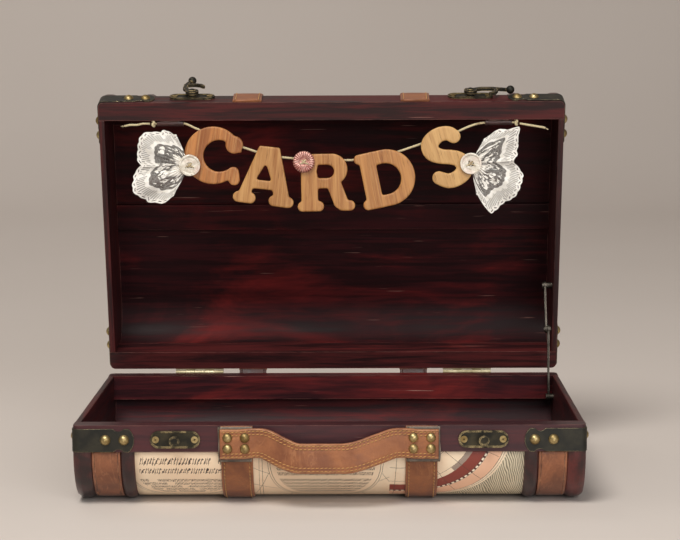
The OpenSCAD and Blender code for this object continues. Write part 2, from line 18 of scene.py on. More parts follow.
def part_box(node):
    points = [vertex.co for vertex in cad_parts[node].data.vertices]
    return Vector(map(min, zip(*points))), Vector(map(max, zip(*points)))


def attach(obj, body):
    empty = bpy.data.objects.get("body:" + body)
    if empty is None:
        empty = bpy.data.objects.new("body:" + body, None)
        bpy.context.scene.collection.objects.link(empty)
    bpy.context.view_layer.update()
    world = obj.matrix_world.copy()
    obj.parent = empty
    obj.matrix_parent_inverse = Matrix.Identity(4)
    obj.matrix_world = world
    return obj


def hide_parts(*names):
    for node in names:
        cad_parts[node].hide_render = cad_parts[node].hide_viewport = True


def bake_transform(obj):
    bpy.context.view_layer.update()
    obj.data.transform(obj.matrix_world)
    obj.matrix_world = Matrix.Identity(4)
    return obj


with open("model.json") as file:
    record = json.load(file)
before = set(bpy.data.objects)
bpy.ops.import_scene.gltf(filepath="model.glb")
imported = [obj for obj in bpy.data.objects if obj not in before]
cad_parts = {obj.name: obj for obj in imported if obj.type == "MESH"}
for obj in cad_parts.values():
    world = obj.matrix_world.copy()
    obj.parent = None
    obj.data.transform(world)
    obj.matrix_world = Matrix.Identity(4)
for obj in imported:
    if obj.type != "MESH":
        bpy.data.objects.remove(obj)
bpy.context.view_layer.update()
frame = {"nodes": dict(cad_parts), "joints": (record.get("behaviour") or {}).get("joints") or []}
nodes = frame["nodes"]
joints = {j["name"]: j for j in frame["joints"]}
MM = 0.001

# %% [markdown]
# ## Landmarks
# Every place in this script is worked out from the frame. The case is two equal halves, so a piece is
# drawn once on the half that stands on the table and carried to the lid by one matrix: a mirror in the
# plane of the rims and a turn about the hinge. Drawing the lid's pieces twice by hand would be slower
# and would drift apart.

# %% Landmarks
front_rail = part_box("base_front_rail")
half_w = front_rail[1].x / MM
front_y = front_rail[0].y / MM
case_y = (front_rail[0].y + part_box("base_back_rail")[1].y) / 2 / MM
half_d = case_y - front_y
bend_r = front_rail[0].z / MM
rim_z = front_rail[1].z / MM
hinge = Vector(joints["lid_hinge"]["pos_m"])
open_angle = math.radians(joints["lid_hinge"]["range_deg"][1])
garland_at = Vector(joints["garland_swing"]["pos_m"])

TO_BASE = Matrix.Translation((0, case_y * MM, 0)) @ Matrix.Scale(MM, 4)
FOLD = Matrix.Translation(hinge) @ Matrix.Rotation(-open_angle, 4, "X")
TO_LID = FOLD @ Matrix.Diagonal((1, 1, -1, 1)) @ Matrix.Translation(-hinge) @ TO_BASE
# the garland's plane: x across, y up and z towards the viewer, from the cord's axis, in mm
TO_GARLAND = Matrix.Translation(garland_at) @ Matrix.Rotation(math.pi / 2, 4, "X") @ Matrix.Scale(MM, 4)
HALVES = {"base": TO_BASE, "lid": TO_LID}
print("case half width, half depth, bend:", round(half_w), round(half_d), round(bend_r))

# %% [markdown]
# ## Camera
# The case is seen from far away through a long lens, a little above it and a little right of its
# middle, so its sides almost close up. The camera comes first, because the free cord's room is judged
# by what it sees.

# %% Camera
camera_place = Vector((0.0247, -1.7255, 0.3696))
yaw, pitch, roll = math.radians(0.57), math.radians(-6.58), math.radians(0.24)
aim = Matrix.Rotation(yaw, 4, "Z") @ Matrix.Rotation(pitch, 4, "X") @ Matrix.Rotation(roll, 4, "Y")
lens = bpy.data.cameras.new("camera")
lens.sensor_width = 36
lens.lens = 109.2
camera = bpy.data.objects.new("camera", lens)
camera.matrix_world = Matrix.Translation(camera_place) @ aim @ Matrix.Rotation(math.pi / 2, 4, "X")
bpy.context.scene.collection.objects.link(camera)
bpy.context.scene.camera = camera
print("camera is", round((camera_place - garland_at).length, 2), "m from the garland")

# %% [markdown]
# ## Small tools for meshes
# A maker's bench has a few tools that every piece uses. `make` turns points and faces into an object,
# puts it in its place, lets it ride on a body and smooths it. `bands` gives the faces between rows of
# points, and `walk` reads a line of points as a path of known length.


# %% Mesh tools
def make(name, points, faces, place, body, slot, smooth=True):
    mesh = bpy.data.meshes.new(name)
    mesh.from_pydata([place @ Vector(p) for p in points], [], faces)
    shape = bmesh.new()
    shape.from_mesh(mesh)
    bmesh.ops.recalc_face_normals(shape, faces=shape.faces)
    shape.to_mesh(mesh)
    shape.free()
    mesh.polygons.foreach_set("use_smooth", [smooth] * len(mesh.polygons))
    piece = bpy.data.objects.new(name, mesh)
    bpy.context.scene.collection.objects.link(piece)
    if body:
        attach(piece, body)
    return piece


def joined(parts):
    """One list of points and faces from many."""
    points, faces = [], []
    for some, these in parts:
        faces += [[i + len(points) for i in f] for f in these]
        points += some
    return points, faces


def bands(rows, sides, closed=True, looped=False):
    """Quads between rows of points; closed joins a row's ends, looped the last row to the first."""
    return [[sides * i + k, sides * i + (k + 1) % sides, sides * ((i + 1) % rows) + (k + 1) % sides,
        sides * ((i + 1) % rows) + k] for i in range(rows if looped else rows - 1)
        for k in range(sides if closed else sides - 1)]


def capped(rows, sides):
    """The faces of a closed tube: its bands and its two ends."""
    return bands(rows, sides) + [list(range(sides)), [sides * (rows - 1) + k for k in range(sides)]]


def mark_uv(piece, name, places):
    """Lay a piece out flat, from a list with one place for each of its points."""
    layer = piece.data.uv_layers.new(name=name)
    for loop in piece.data.loops:
        layer.data[loop.index].uv = places[loop.vertex_index]


# %% Line tools
def ease(t):
    t = max(0.0, min(1.0, t))
    return t * t * (3 - 2 * t)


def turns(count):
    """Evenly spaced angles of a full turn."""
    return [2 * math.pi * k / count for k in range(count)]


def aims(line):
    """The way a line runs at each of its points."""
    last = len(line) - 1
    return [line[min(i + 1, last)] - line[max(i - 1, 0)] for i in range(last + 1)]


def walk(points):
    """The path's length, and a function that gives the point a distance along it."""
    steps = [0.0]
    for a, b in zip(points, points[1:]):
        steps.append(steps[-1] + (b - a).length)

    def at(s):
        s = max(0.0, min(steps[-1] - 1e-9, s))
        i = max(0, min(len(points) - 2, next(k for k, v in enumerate(steps[1:]) if v > s)))
        return points[i].lerp(points[i + 1], (s - steps[i]) / max(steps[i + 1] - steps[i], 1e-9))

    return steps[-1], at


# %% [markdown]
# ## The hemp cord
# The garland hangs on thin hemp twine: three strands twisted together, about 2 mm thick. A smooth tube
# would look like wire. So a ring with three soft lobes is swept along the cord's route and turned a
# little at each step, which gives the twist as real geometry. The route itself is the CAD cord's own
# route, point for point, in metres from the swing's axis.

# %% Cord route
ROUTE = [(-0.164, 0), (-0.153, 0), (-0.143, 0), (-0.133, 0), (-0.126, 0), (-0.117, -0.004),
    (-0.108, -0.008), (-0.099, -0.012), (-0.09, -0.015), (-0.081, -0.019), (-0.072, -0.022),
    (-0.063, -0.025), (-0.054, -0.027), (-0.045, -0.029), (-0.036, -0.03), (-0.027, -0.031),
    (-0.018, -0.032), (-0.009, -0.032), (0, -0.032), (0.009, -0.032), (0.018, -0.032),
    (0.027, -0.031), (0.036, -0.03), (0.045, -0.028), (0.054, -0.026), (0.063, -0.023),
    (0.072, -0.02), (0.081, -0.017), (0.09, -0.014), (0.099, -0.011), (0.108, -0.008),
    (0.117, -0.004), (0.126, -0.001), (0.135, 0), (0.144, 0), (0.152, 0), (0.159, 0), (0.168, 0)]
TAILS = [
    [(-0.148, 0, 0), (-0.156, 0, 0), (-0.162, 0, 0.001), (-0.167, -0.001, 0.001),
        (-0.173, -0.001, 0.001), (-0.178, -0.002, 0), (-0.184, -0.003, 0)],
    [(0.154, 0, 0), (0.162, -0.001, 0), (0.168, -0.002, 0.001), (0.174, -0.003, 0.001),
        (0.18, -0.004, 0.001), (0.184, -0.005, 0), (0.19, -0.008, 0)],
]
CORD_R = 1.0
TWIST = 7.0


def curve_through(points, steps):
    """A smooth line through the inner points, in mm; the first and last only aim it."""
    p = [Vector(q).to_3d() / MM for q in points]
    line = []
    for a, b, c, d in zip(p, p[1:], p[2:], p[3:]):
        for k in range(steps):
            t = k / steps
            line.append(0.5 * (2 * b + (c - a) * t + (2 * a - 5 * b + 4 * c - d) * t * t
                + (3 * b - a - 3 * c + d) * t ** 3))
    return line + [p[-2]]


def rope(line, radius, twist=TWIST, sides=18, strands=3):
    """Points and faces of a twisted rope along a line in the garland's plane."""
    points, travelled = [], 0.0
    for i, (p, ahead) in enumerate(zip(line, aims(line))):
        across = Vector((-ahead.y, ahead.x, 0)).normalized()
        out = ahead.normalized().cross(across)
        for a in turns(sides):
            lobe = abs(math.cos(strands / 2 * (a - 2 * math.pi * travelled / twist)))
            points.append(p + (across * math.cos(a) + out * math.sin(a)) * radius * (0.74 + 0.3 * lobe))
        travelled += (line[min(i + 1, len(line) - 1)] - p).length
    return points, capped(len(line), sides)


# %% Cord, knots and tails
cord_line = curve_through(ROUTE, 14)
cord_path = [TO_GARLAND @ p for p in cord_line]
garland_cord = make("hemp_cord", *rope(cord_line, CORD_R), TO_GARLAND, "garland", "hemp")
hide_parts("garland_cord")


def tube_along(line, radius, sides=10):
    points = []
    for p, step in zip(line, aims(line)):
        ahead = step.normalized()
        across = ahead.cross(Vector((0.3, 0.2, 1))).normalized()
        out = ahead.cross(across)
        points += [p + radius * (across * math.cos(a) + out * math.sin(a)) for a in turns(sides)]
    return points, capped(len(line), sides)


def knot(centre, size, tube):
    """A small overhand knot: a trefoil of twine pulled tight."""
    line = [centre + size * Vector((-0.8 * math.sin(3 * t), math.sin(t) + 2 * math.sin(2 * t),
        math.cos(t) - 2 * math.cos(2 * t))) for t in turns(72) + [2 * math.pi]]
    return tube_along(line, tube)


def frayed_end(tip, aim_to, seed):
    """A few loose fibres fanning out of a cut end."""
    random.seed(seed)
    fibres = []
    for _ in range(7):
        lean = Vector([random.uniform(-0.45, 0.45) for _ in range(3)])
        length = random.uniform(1.6, 3.0)
        fibres.append(tube_along([tip + (aim_to + lean * t) * length * t for t in (0, 0.35, 0.7, 1)],
            0.22, 5))
    return fibres


tie_parts = []
for tail, knot_x in zip(TAILS, (-153, 159)):
    tail_line = curve_through(tail, 10)
    tie_parts.append(rope(tail_line, CORD_R * 0.96))
    tie_parts.append(knot(Vector((knot_x, 0, 0)), 0.82, 0.95))
    tie_parts += frayed_end(tail_line[-1], (tail_line[-1] - tail_line[-3]).normalized(), knot_x)
cord_ties = make("hemp_knots_and_tails", *joined(tie_parts), TO_GARLAND, "garland", "hemp")
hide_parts("garland_knots")
cord_length = walk(cord_path)[0]
print("cord length in m:", round(cord_length, 3), "rings:", len(cord_path))

# %% [markdown]
# ## Small tools for materials
# A material here is one Principled shader fed by a few nodes. Effects that several materials share are
# node groups with named sockets. `Bench` saves typing: it places a node, wires what is wired and sets
# what is plain. A `Wire` is a node's output, and a sum of wires is written as a sum: each sign adds one
# Math node. A mask is 0 or 1; `&` keeps what both masks keep, and `|` what either keeps.


# %% Wires
class Wire:
    """A node's output, which can be added, multiplied and compared."""

    def __init__(self, bench, socket):
        self.bench = bench
        self.socket = socket


SIGNS = {"add": "ADD", "sub": "SUBTRACT", "mul": "MULTIPLY", "truediv": "DIVIDE", "and": "MULTIPLY",
    "or": "MAXIMUM", "gt": "GREATER_THAN", "lt": "LESS_THAN"}
for sign, meaning in SIGNS.items():
    setattr(Wire, f"__{sign}__", lambda one, two, kind=meaning: one.bench.math(kind, one, two))
for sign in ("add", "sub", "mul"):
    setattr(Wire, f"__r{sign}__", lambda one, two, kind=SIGNS[sign]: one.bench.math(kind, two, one))


# %% Bench
class Bench:
    def __init__(self, tree):
        self.tree = tree

    def put(self, value, socket):
        if isinstance(value, Wire):
            self.tree.links.new(value.socket, socket)
        elif value is not None:
            socket.default_value = value

    def node(self, kind, inputs=(), **settings):
        """A new node; `inputs` gives its sockets wires or plain values."""
        made = self.tree.nodes.new(kind)
        for name, value in settings.items():
            setattr(made, name, value)
        for label, value in dict(inputs).items():
            self.put(value, made.inputs[label])
        return made

    def wire(self, made, output=0):
        return Wire(self, made.outputs[output])

    def math(self, operation, a, b=None, clamp=False):
        return self.wire(self.node("ShaderNodeMath", {0: a, 1: b}, operation=operation, use_clamp=clamp))

    def mix(self, share, a, b):
        return self.wire(self.node("ShaderNodeMix", {0: share, 6: a, 7: b}, data_type="RGBA"), 2)

    def between(self, value, low, high, a=0.0, b=1.0):
        """An eased step from a, where the value is low, to b, where it is high."""
        ends = dict(enumerate((value, low, high, a, b)))
        return self.wire(self.node("ShaderNodeMapRange", ends, interpolation_type="SMOOTHSTEP"))

    def stretch(self, vector, scale, turn=(0, 0, 0)):
        return self.wire(self.node("ShaderNodeMapping", {"Vector": vector, "Rotation": turn, "Scale": scale}))

    def noise(self, vector, scale, detail=3.0, rough=0.55, warp=0.0, turn=(0, 0, 0)):
        """Cloudy noise; a scale of three numbers draws the clouds out along the axes."""
        if isinstance(scale, tuple):
            vector, scale = self.stretch(vector, scale, turn), 1.0
        return self.wire(self.node("ShaderNodeTexNoise", {"Vector": vector, "Scale": scale,
            "Detail": detail, "Roughness": rough, "Distortion": warp}), "Fac")

    def cells(self, vector, scale, feature="F1", spread=1.0):
        return self.wire(self.node("ShaderNodeTexVoronoi", {"Vector": vector, "Scale": scale,
            "Randomness": spread}, feature=feature), "Distance")

    def place(self, output="Object"):
        return self.wire(self.node("ShaderNodeTexCoord"), output)

    def flat_place(self):
        """The place on the flat layout, in millimetres."""
        return self.stretch(self.place("UV"), (1000, 1000, 1))

    def split(self, vector):
        made = self.node("ShaderNodeSeparateXYZ", {0: vector})
        return [self.wire(made, i) for i in range(3)]

    def group(self, tree, **values):
        made = self.node("ShaderNodeGroup", values, node_tree=tree)
        return {socket.name: Wire(self, socket) for socket in made.outputs}

    def results(self, **values):
        self.node("NodeGroupOutput", values)


# %% Effects and finishes
def paint(red, green, blue):
    """A colour mixed on a screen, as the linear colour that shaders use."""
    return [((v / 255 + 0.055) / 1.055) ** 2.4 if v > 10 else v / 255 / 12.92
        for v in (red, green, blue)] + [1]


def effect(name, outputs, **inputs):
    """A new node group, and the bench and wires to build it with. Its first input is a place."""
    tree = bpy.data.node_groups.new(name, "ShaderNodeTree")
    tree.interface.new_socket(name="Vector", in_out="INPUT", socket_type="NodeSocketVector")
    for label, value in inputs.items():
        kind = "NodeSocketFloat" if isinstance(value, float) else "NodeSocketColor"
        tree.interface.new_socket(name=label, in_out="INPUT", socket_type=kind).default_value = value
    for label in outputs:
        kind = "NodeSocketColor" if label == "Color" else "NodeSocketFloat"
        tree.interface.new_socket(name=label, in_out="OUTPUT", socket_type=kind)
    bench = Bench(tree)
    given = {socket.name: Wire(bench, socket) for socket in bench.node("NodeGroupInput").outputs}
    return tree, bench, given


def material(name, look, depth=0.0, holes=None, **plain):
    """A finish: `look` gives colour, roughness and height, `holes` an alpha; depth is in mm."""
    made = bpy.data.materials.new(name)
    made.use_nodes = True
    bench, shader = Bench(made.node_tree), made.node_tree.nodes["Principled BSDF"]
    colour, rough, height = look(bench)
    bench.put(colour, shader.inputs["Base Color"])
    bench.put(rough, shader.inputs["Roughness"])
    if holes:
        bench.put(holes(bench), shader.inputs["Alpha"])
    if height is not None:
        bump = bench.node("ShaderNodeBump", {"Strength": 1.0, "Distance": depth * MM, "Height": height})
        bench.put(bench.wire(bump), shader.inputs["Normal"])
    for label, value in plain.items():
        shader.inputs[label.replace("_", " ")].default_value = value
    return made


def give(finish, *names):
    for name in names:
        piece = nodes.get(name) or bpy.data.objects[name]
        if not piece.material_slots:
            piece.data.materials.append(finish)
        piece.material_slots[0].material = finish


SURFACE = ("Color", "Roughness", "Height")
BLACK, WHITE = (0, 0, 0, 1), (1, 1, 1, 1)

# %% [markdown]
# ## Effect: worn edges
# Hands and luggage racks rub the paint off edges first. The Bevel node gives the normal that the
# surface would have with rounded edges; where that differs from the true normal there is an edge. A
# noise breaks the line up, because wear is never even.

# %% Worn edges group
wear, bench, given = effect("Worn edges", ["Mask"], Width=0.0015, Breakup=90.0, Amount=1.0)
rounded = bench.wire(bench.node("ShaderNodeBevel", {"Radius": given["Width"]}, samples=4))
true_normal = bench.wire(bench.node("ShaderNodeNewGeometry"), "Normal")
lie = bench.node("ShaderNodeVectorMath", {0: rounded, 1: true_normal}, operation="DOT_PRODUCT")
edge = bench.between(bench.wire(lie, "Value"), 0.99, 0.86)
patchy = bench.between(bench.noise(given["Vector"], given["Breakup"], 5.0), 0.36, 0.6)
bench.results(Mask=bench.math("MULTIPLY", edge * patchy, given["Amount"], clamp=True))
print("group:", wear.name)

# %% [markdown]
# ## Effect: rubbed wood
# The case is painted plum over red-brown stained wood. The paint is thin, so the grain shows as fine
# streaks, and it is rubbed through in long soft patches. Both come from noise stretched along the
# grain; a second, much longer noise draws a few pale scratches.

# %% Rubbed wood group
rubbed, bench, given = effect("Rubbed wood", SURFACE, Paint=BLACK, Grain=BLACK, Bare=BLACK, Rubbed=0.5,
    Scratches=0.5)
at = given["Vector"]
streaks = bench.noise(at, (11, 210, 210), 7.0, 0.65, 0.5)
broad = bench.noise(at, (7, 62, 62), 4.0, 0.6, 0.5)
clouds = bench.noise(at, (5.5, 12, 12), 5.0, 0.6, 0.8)
cut = bench.between(bench.noise(at, (18, 560, 560), 2.0), 0.71, 0.77) * given["Scratches"]
fibres = streaks * 0.6 + broad * 0.4
limit = 0.82 - given["Rubbed"] * 0.4
rub = bench.between(clouds + (fibres - 0.5) * 0.34, limit, limit + 0.34)
tone = bench.mix(bench.between(fibres, 0.42, 0.6), given["Paint"], given["Grain"])
tone = bench.mix(rub, tone, given["Bare"])
bench.results(Color=bench.mix(cut, tone, paint(158, 116, 104)), Height=fibres - cut,
    Roughness=bench.between(fibres, 0.35, 0.65, 0.44, 0.6) + cut * 0.2)
print("group:", rubbed.name)

# %% [markdown]
# ## Finish: painted plum wood
# One finish, three grain directions: along the width for rails and shells, front to back for the base's
# end panels, and up the leaning lid's end panels. Only the turn of the texture changes.


# %% Plum wood
def plum_wood(name, tones, rubs, turn=(0, 0, 0), scratches=0.5, coat=0.1, gloss=0.34):
    def look(bench):
        place = bench.place()
        wood = bench.group(rubbed, Vector=bench.stretch(place, (1, 1, 1), turn), Paint=paint(*tones[0]),
            Grain=paint(*tones[1]), Bare=paint(*tones[2]), Rubbed=rubs, Scratches=scratches)
        worn = bench.group(wear, Vector=place, Width=0.0011, Breakup=70.0, Amount=0.7)["Mask"]
        return bench.mix(worn, wood["Color"], paint(134, 88, 78)), wood["Roughness"], wood["Height"]

    return material(name, look, 0.16, Coat_Weight=coat, Coat_Roughness=0.3, Specular_IOR_Level=gloss)


QUARTER = math.pi / 2
DARK_RED = ((34, 10, 12), (76, 22, 22), (124, 36, 30))
INSIDE = ((31, 12, 14), (50, 15, 18), (112, 29, 27))
BASE_INSIDE = ((40, 15, 19), (72, 22, 26), (122, 36, 32))
PLUM = ((52, 23, 28), (72, 30, 33), (98, 40, 38))
wood_rail = plum_wood("plum_rail", PLUM, 0.3, scratches=1.0, coat=0.2)
wood_lid_rail = plum_wood("lid_rail", DARK_RED, 0.55, scratches=0.8)
wood_inside = plum_wood("bare_inside", INSIDE, 0.86, coat=0.0, gloss=0.12)
wood_base_inside = plum_wood("base_inside", BASE_INSIDE, 0.8, scratches=0.9, coat=0.0, gloss=0.14)
wood_end = plum_wood("end_panel", DARK_RED, 0.5, (0, 0, QUARTER))
wood_lid_end = plum_wood("lid_end_panel", DARK_RED, 0.4, (open_angle, 0, QUARTER))
give(wood_rail, "base_front_rail")
give(wood_lid_rail, "lid_front_rail", "lid_back_rail")
give(wood_inside, "lid_shell_front", "lid_shell_back", "lid_batten")
give(wood_base_inside, "base_shell_front", "base_shell_back", "base_batten", "base_back_rail")
give(wood_end, "base_end_left", "base_end_right")
give(wood_lid_end, "lid_end_left", "lid_end_right")

# %% [markdown]
# ## Finish: dark half-round mouldings
# The ribs and end mouldings are the same wood, darker and glossier, and their crowns are rubbed to a
# warm red because they are what the case slides on. Their grain runs round the case, so the patches
# are drawn nearly round and only a little stretched.


# %% Dark wood
def dark_look(bench):
    place = bench.place()
    wood = bench.group(rubbed, Vector=bench.stretch(place, (6, 0.35, 0.35)), Paint=paint(34, 12, 13),
        Grain=paint(62, 20, 19), Bare=paint(112, 32, 26), Rubbed=0.75, Scratches=0.2)
    worn = bench.group(wear, Vector=place, Width=0.002, Breakup=60.0, Amount=0.35)["Mask"]
    return bench.mix(worn, wood["Color"], paint(112, 60, 48)), 0.38, wood["Height"]


dark_wood = material("dark_moulding", dark_look, 0.1, Coat_Weight=0.4, Coat_Roughness=0.22,
    Specular_IOR_Level=0.4)
give(dark_wood, "base_ribs", "base_mouldings", "lid_ribs", "lid_mouldings")

# %% [markdown]
# ## Effect: aged metal
# The fittings are thin brass darkened almost to black. Brass shows again wherever fingers and cloth
# polish it: along edges and on raised rims. Small freckles of tarnish keep the flat areas alive.

# %% Aged metal group
aged, bench, given = effect("Aged metal", SURFACE, Dark=BLACK, Bright=WHITE, Polish=0.2, Edge=0.0)
freckles = bench.noise(given["Vector"], 420.0, 6.0, 0.7)
hazy = bench.between(bench.noise(given["Vector"], 75.0), 0.35, 0.72)
shine = bench.math("MULTIPLY", hazy * given["Polish"] | given["Edge"],
    bench.between(freckles, 0.25, 0.5, 0.55, 1.0), clamp=True)
bench.results(Color=bench.mix(shine, given["Dark"], given["Bright"]), Height=freckles,
    Roughness=bench.between(shine, 0.0, 1.0, 0.46, 0.26) + freckles * 0.12)
print("group:", aged.name)


# %% Metal finishes
def metal(name, dark, bright, polish, edge_width=0.0007, edge=1.0, metallic=1.0):
    def look(bench):
        place = bench.place()
        rim = bench.group(wear, Vector=place, Width=edge_width, Breakup=160.0, Amount=edge)["Mask"]
        skin = bench.group(aged, Vector=place, Dark=paint(*dark), Bright=paint(*bright), Polish=polish,
            Edge=rim)
        return skin["Color"], skin["Roughness"], skin["Height"]

    return material(name, look, 0.04, Metallic=metallic)


bronze = metal("aged_bronze", (40, 40, 36), (188, 172, 130), 0.05, 0.0007, 1.0, 0.6)
plate_bronze = metal("plate_bronze", (40, 39, 34), (206, 184, 134), 0.07, 0.0013, 1.0, 0.75)
faded_brass = metal("faded_brass", (150, 140, 108), (216, 206, 174), 0.6, edge=0.4, metallic=0.6)
brass = metal("worn_brass", (136, 114, 72), (214, 194, 142), 0.85, edge=0.3)
steel = metal("stay_steel", (62, 58, 52), (140, 132, 120), 0.3)
slot_shadow = metal("slot_shadow", (34, 30, 24), (90, 80, 60), 0.1)
give(bronze, "base_brackets", "lid_brackets")
give(plate_bronze, "keeper_plates", "latch_plates", "latch_hook_left", "latch_hook_right", "keeper_studs")
give(brass, "base_tacks", "lid_tacks", "handle_tacks", "keeper_screws", "latch_screws", "hinge_pins",
    "hinge_screws_base", "hinge_screws_lid")
give(faded_brass, "hinge_leaves_base", "hinge_leaves_lid")
give(steel, "stay_screw_base", "stay_screw_lid", "stay_lower_link", "stay_upper_link")

# %% [markdown]
# ## Cross slots
# The latch plates are held by small cross-head screws. From close by their slots are what makes them
# screws and not rivets, so each head gets a dark cross, cut as four thin wedges that sink to a point.


# %% Cross slots
def cross_slot(centre, turn, reach=1.25, wide=0.34, points_round=16):
    """A shallow four-pointed star just proud of a screw head that faces forward."""
    points = []
    for k, a in enumerate(turns(points_round)):
        r = (reach, wide * 1.25, wide, wide * 1.25)[k % 4]
        points.append(centre + Vector((r * math.cos(turn + a), -0.12, r * math.sin(turn + a))))
    points += [p + Vector((0, 0.3, 0)) for p in points]
    return points, [list(range(points_round)), list(range(2 * points_round - 1, points_round - 1, -1))] \
        + bands(2, points_round)


def loose_parts(node):
    """The lowest and the highest corner of each separate piece in a CAD node, in metres."""
    shape = bmesh.new()
    shape.from_mesh(nodes[node].data)
    bmesh.ops.remove_doubles(shape, verts=shape.verts, dist=1e-6)
    seen, found = set(), []
    for vert in shape.verts:
        if vert.index in seen:
            continue
        heap, island = [vert], []
        seen.add(vert.index)
        while heap:
            v = heap.pop()
            island.append(v.co.copy())
            for w in (e.other_vert(v) for e in v.link_edges):
                if w.index not in seen:
                    seen.add(w.index)
                    heap.append(w)
        found.append([Vector([pick(p[i] for p in island) for i in range(3)]) for pick in (min, max)])
    shape.free()
    return found


slots = []
for low, high in loose_parts("keeper_screws"):
    middle = (low + high) / 2
    slots.append(cross_slot(Vector((middle.x, low.y, middle.z)) / MM, middle.x * 40))
crosses = make("keeper_screw_slots", *joined(slots), Matrix.Scale(MM, 4), "base", "brass", smooth=False)
give(slot_shadow, crosses.name)
print("screws with slots:", len(slots))

# %% [markdown]
# ## Softened edges
# No machined or sawn edge is perfectly sharp, and a sharp one catches no light. The CAD meshes stay as
# they are; modifiers on top weld the corners together, cut a small bevel and smooth the shading.


# %% Soften the hard parts
def soften(width, *names):
    for name in names:
        piece = nodes[name]
        weld = piece.modifiers.new("weld", "WELD")
        weld.merge_threshold = 0.01 * MM
        cut = piece.modifiers.new("bevel", "BEVEL")
        cut.width = width * MM
        cut.segments = 2
        cut.limit_method = "ANGLE"
        cut.angle_limit = math.radians(40)
        cut.use_clamp_overlap = True
        piece.modifiers.new("shade", "WEIGHTED_NORMAL")


soften(0.7, "base_front_rail", "base_back_rail", "lid_front_rail", "lid_back_rail", "base_end_left",
    "base_end_right", "lid_end_left", "lid_end_right", "base_batten", "lid_batten")
soften(0.25, "base_brackets", "lid_brackets")

# %% [markdown]
# ## The wooden letters
# The letters are sawn from 4 mm board and sanded until every edge is round. A voxel remesh joins the
# CAD shapes into one skin and a smoothing pass rounds it like sandpaper would; a bevel could not round
# the corners of the outline as well. The finish is honey-coloured stain over a straight, open grain.


# %% Letters
def sawn_look(light, dark, tilt):
    def look(bench):
        place = bench.stretch(bench.place(), (1, 1, 1), (0, math.radians(tilt), 0))
        fine = bench.noise(place, (900, 300, 22), 5.0, 0.6)
        broad = bench.noise(place, (140, 60, 9), 4.0, 0.6, 1.2)
        pores = bench.between(bench.noise(place, (1500, 500, 60), 2.0), 0.62, 0.7)
        tone = bench.mix(bench.between(broad, 0.3, 0.7), paint(*dark), paint(*light))
        tone = bench.mix(bench.between(fine, 0.45, 0.7) * 0.45, tone, paint(206, 158, 100))
        tone = bench.mix(pores * 0.5, tone, paint(96, 56, 26))
        return tone, bench.between(fine, 0.3, 0.7, 0.36, 0.55), fine - pores

    return look


LETTERS = {
    "letter_c": (-9, (186, 122, 64), (138, 80, 36)),
    "letter_a": (-6.6, (190, 142, 84), (156, 104, 54)),
    "letter_r": (1, (188, 136, 78), (148, 92, 44)),
    "letter_d": (11.5, (184, 128, 70), (142, 88, 42)),
    "letter_s": (17, (206, 164, 104), (176, 132, 78)),
}
for name, (tilt, light, dark) in LETTERS.items():
    stain = material(name + "_stain", sawn_look(light, dark, tilt), 0.12, Coat_Weight=0.1,
        Coat_Roughness=0.35)
    give(stain, name)
    skin = nodes[name].modifiers.new("skin", "REMESH")
    skin.mode = "VOXEL"
    skin.voxel_size = 0.62 * MM
    skin.use_smooth_shade = True
    sanded = nodes[name].modifiers.new("sanded", "SMOOTH")
    sanded.factor = 0.5
    sanded.iterations = 9
print("letters:", len(LETTERS))

# %% [markdown]
# ## The girth of a half
# Paper, patches and straps all wrap the same way: down the front rail, round the bend, along the flat
# and up the back. `girth` gives the point and the outward direction at a distance below the front
# rail's lower edge, so that each strip only says how deep it lies.

# %% Girth
ARC = bend_r * math.pi / 2
FLAT = 2 * (half_d - bend_r)
ALL_ROUND = 2 * ARC + FLAT


def girth(s, inset):
    if s > ALL_ROUND / 2:
        (y, z), (ny, nz) = girth(ALL_ROUND - s, inset)
        return (-y, z), (-ny, nz)
    if s < 0:
        return (inset - half_d, bend_r - s), (-1, 0)
    if s < ARC:
        a = s / bend_r
        ny, nz = -math.cos(a), -math.sin(a)
        return (bend_r - half_d + (bend_r - inset) * ny, bend_r + (bend_r - inset) * nz), (ny, nz)
    return (bend_r - half_d + s - ARC, inset), (0, -1)


def stations(start, end, inset, x, step=2.0):
    """Places along the girth: a centre, the direction across and the direction out."""
    count = max(2, round((end - start) / step))
    places = []
    for i in range(count + 1):
        s = start + (end - start) * i / count
        (y, z), (ny, nz) = girth(s, inset(s))
        places.append((Vector((x, y, z)), Vector((1, 0, 0)), Vector((0, ny, nz))))
    return places


# %% [markdown]
# ## Strips of leather
# A cut strip of leather has rounded, slightly wavy edges, a softly crowned face and a shallow trench
# where each row of stitches pulls it down. `strip` sweeps such a section along a list of stations.


# %% Strip builder
def strip(places, width, thick, rows=(), crown=0.2, wander=0.25, seed=1, trench=0.3, columns=26, puff=0.0):
    half, points = width / 2, []
    widths = []
    for k in range(columns + 1):
        u = -1 + 2 * k / columns
        widths.append(half * math.sin(u * math.pi / 2) if abs(u) > 0.6 else half * u * 0.951 / 0.6)
    for i, (centre, across, out_) in enumerate(places):
        drift = wander * noise.noise(Vector((i * 0.13, seed, 0)))
        for a in widths:
            edge = max(0.0, abs(a) - (half - thick * 0.55)) / (thick * 0.55)
            h = thick * (0.45 + 0.55 * math.sqrt(max(0.0, 1 - min(1, edge) ** 2)))
            h += crown * (1 - (a / half) ** 2) * (1 - min(1, edge))
            h -= sum(trench * math.exp(-((a - r) / 0.55) ** 2) for r in rows)
            h += puff * 0.35 * noise.noise(Vector((i * 0.21, a * 0.25, seed + 4)))
            points.append(centre + across * (a + drift * (1 if a > 0 else -1) * abs(a / half)) + out_ * h)
        for a in reversed(widths):
            edge = max(0.0, abs(a) - (half - thick * 0.5)) / (thick * 0.5)
            points.append(centre + across * a * 0.995 + out_ * thick * 0.35 * min(1, edge) ** 2)
    return points, capped(len(places), 2 * (columns + 1))


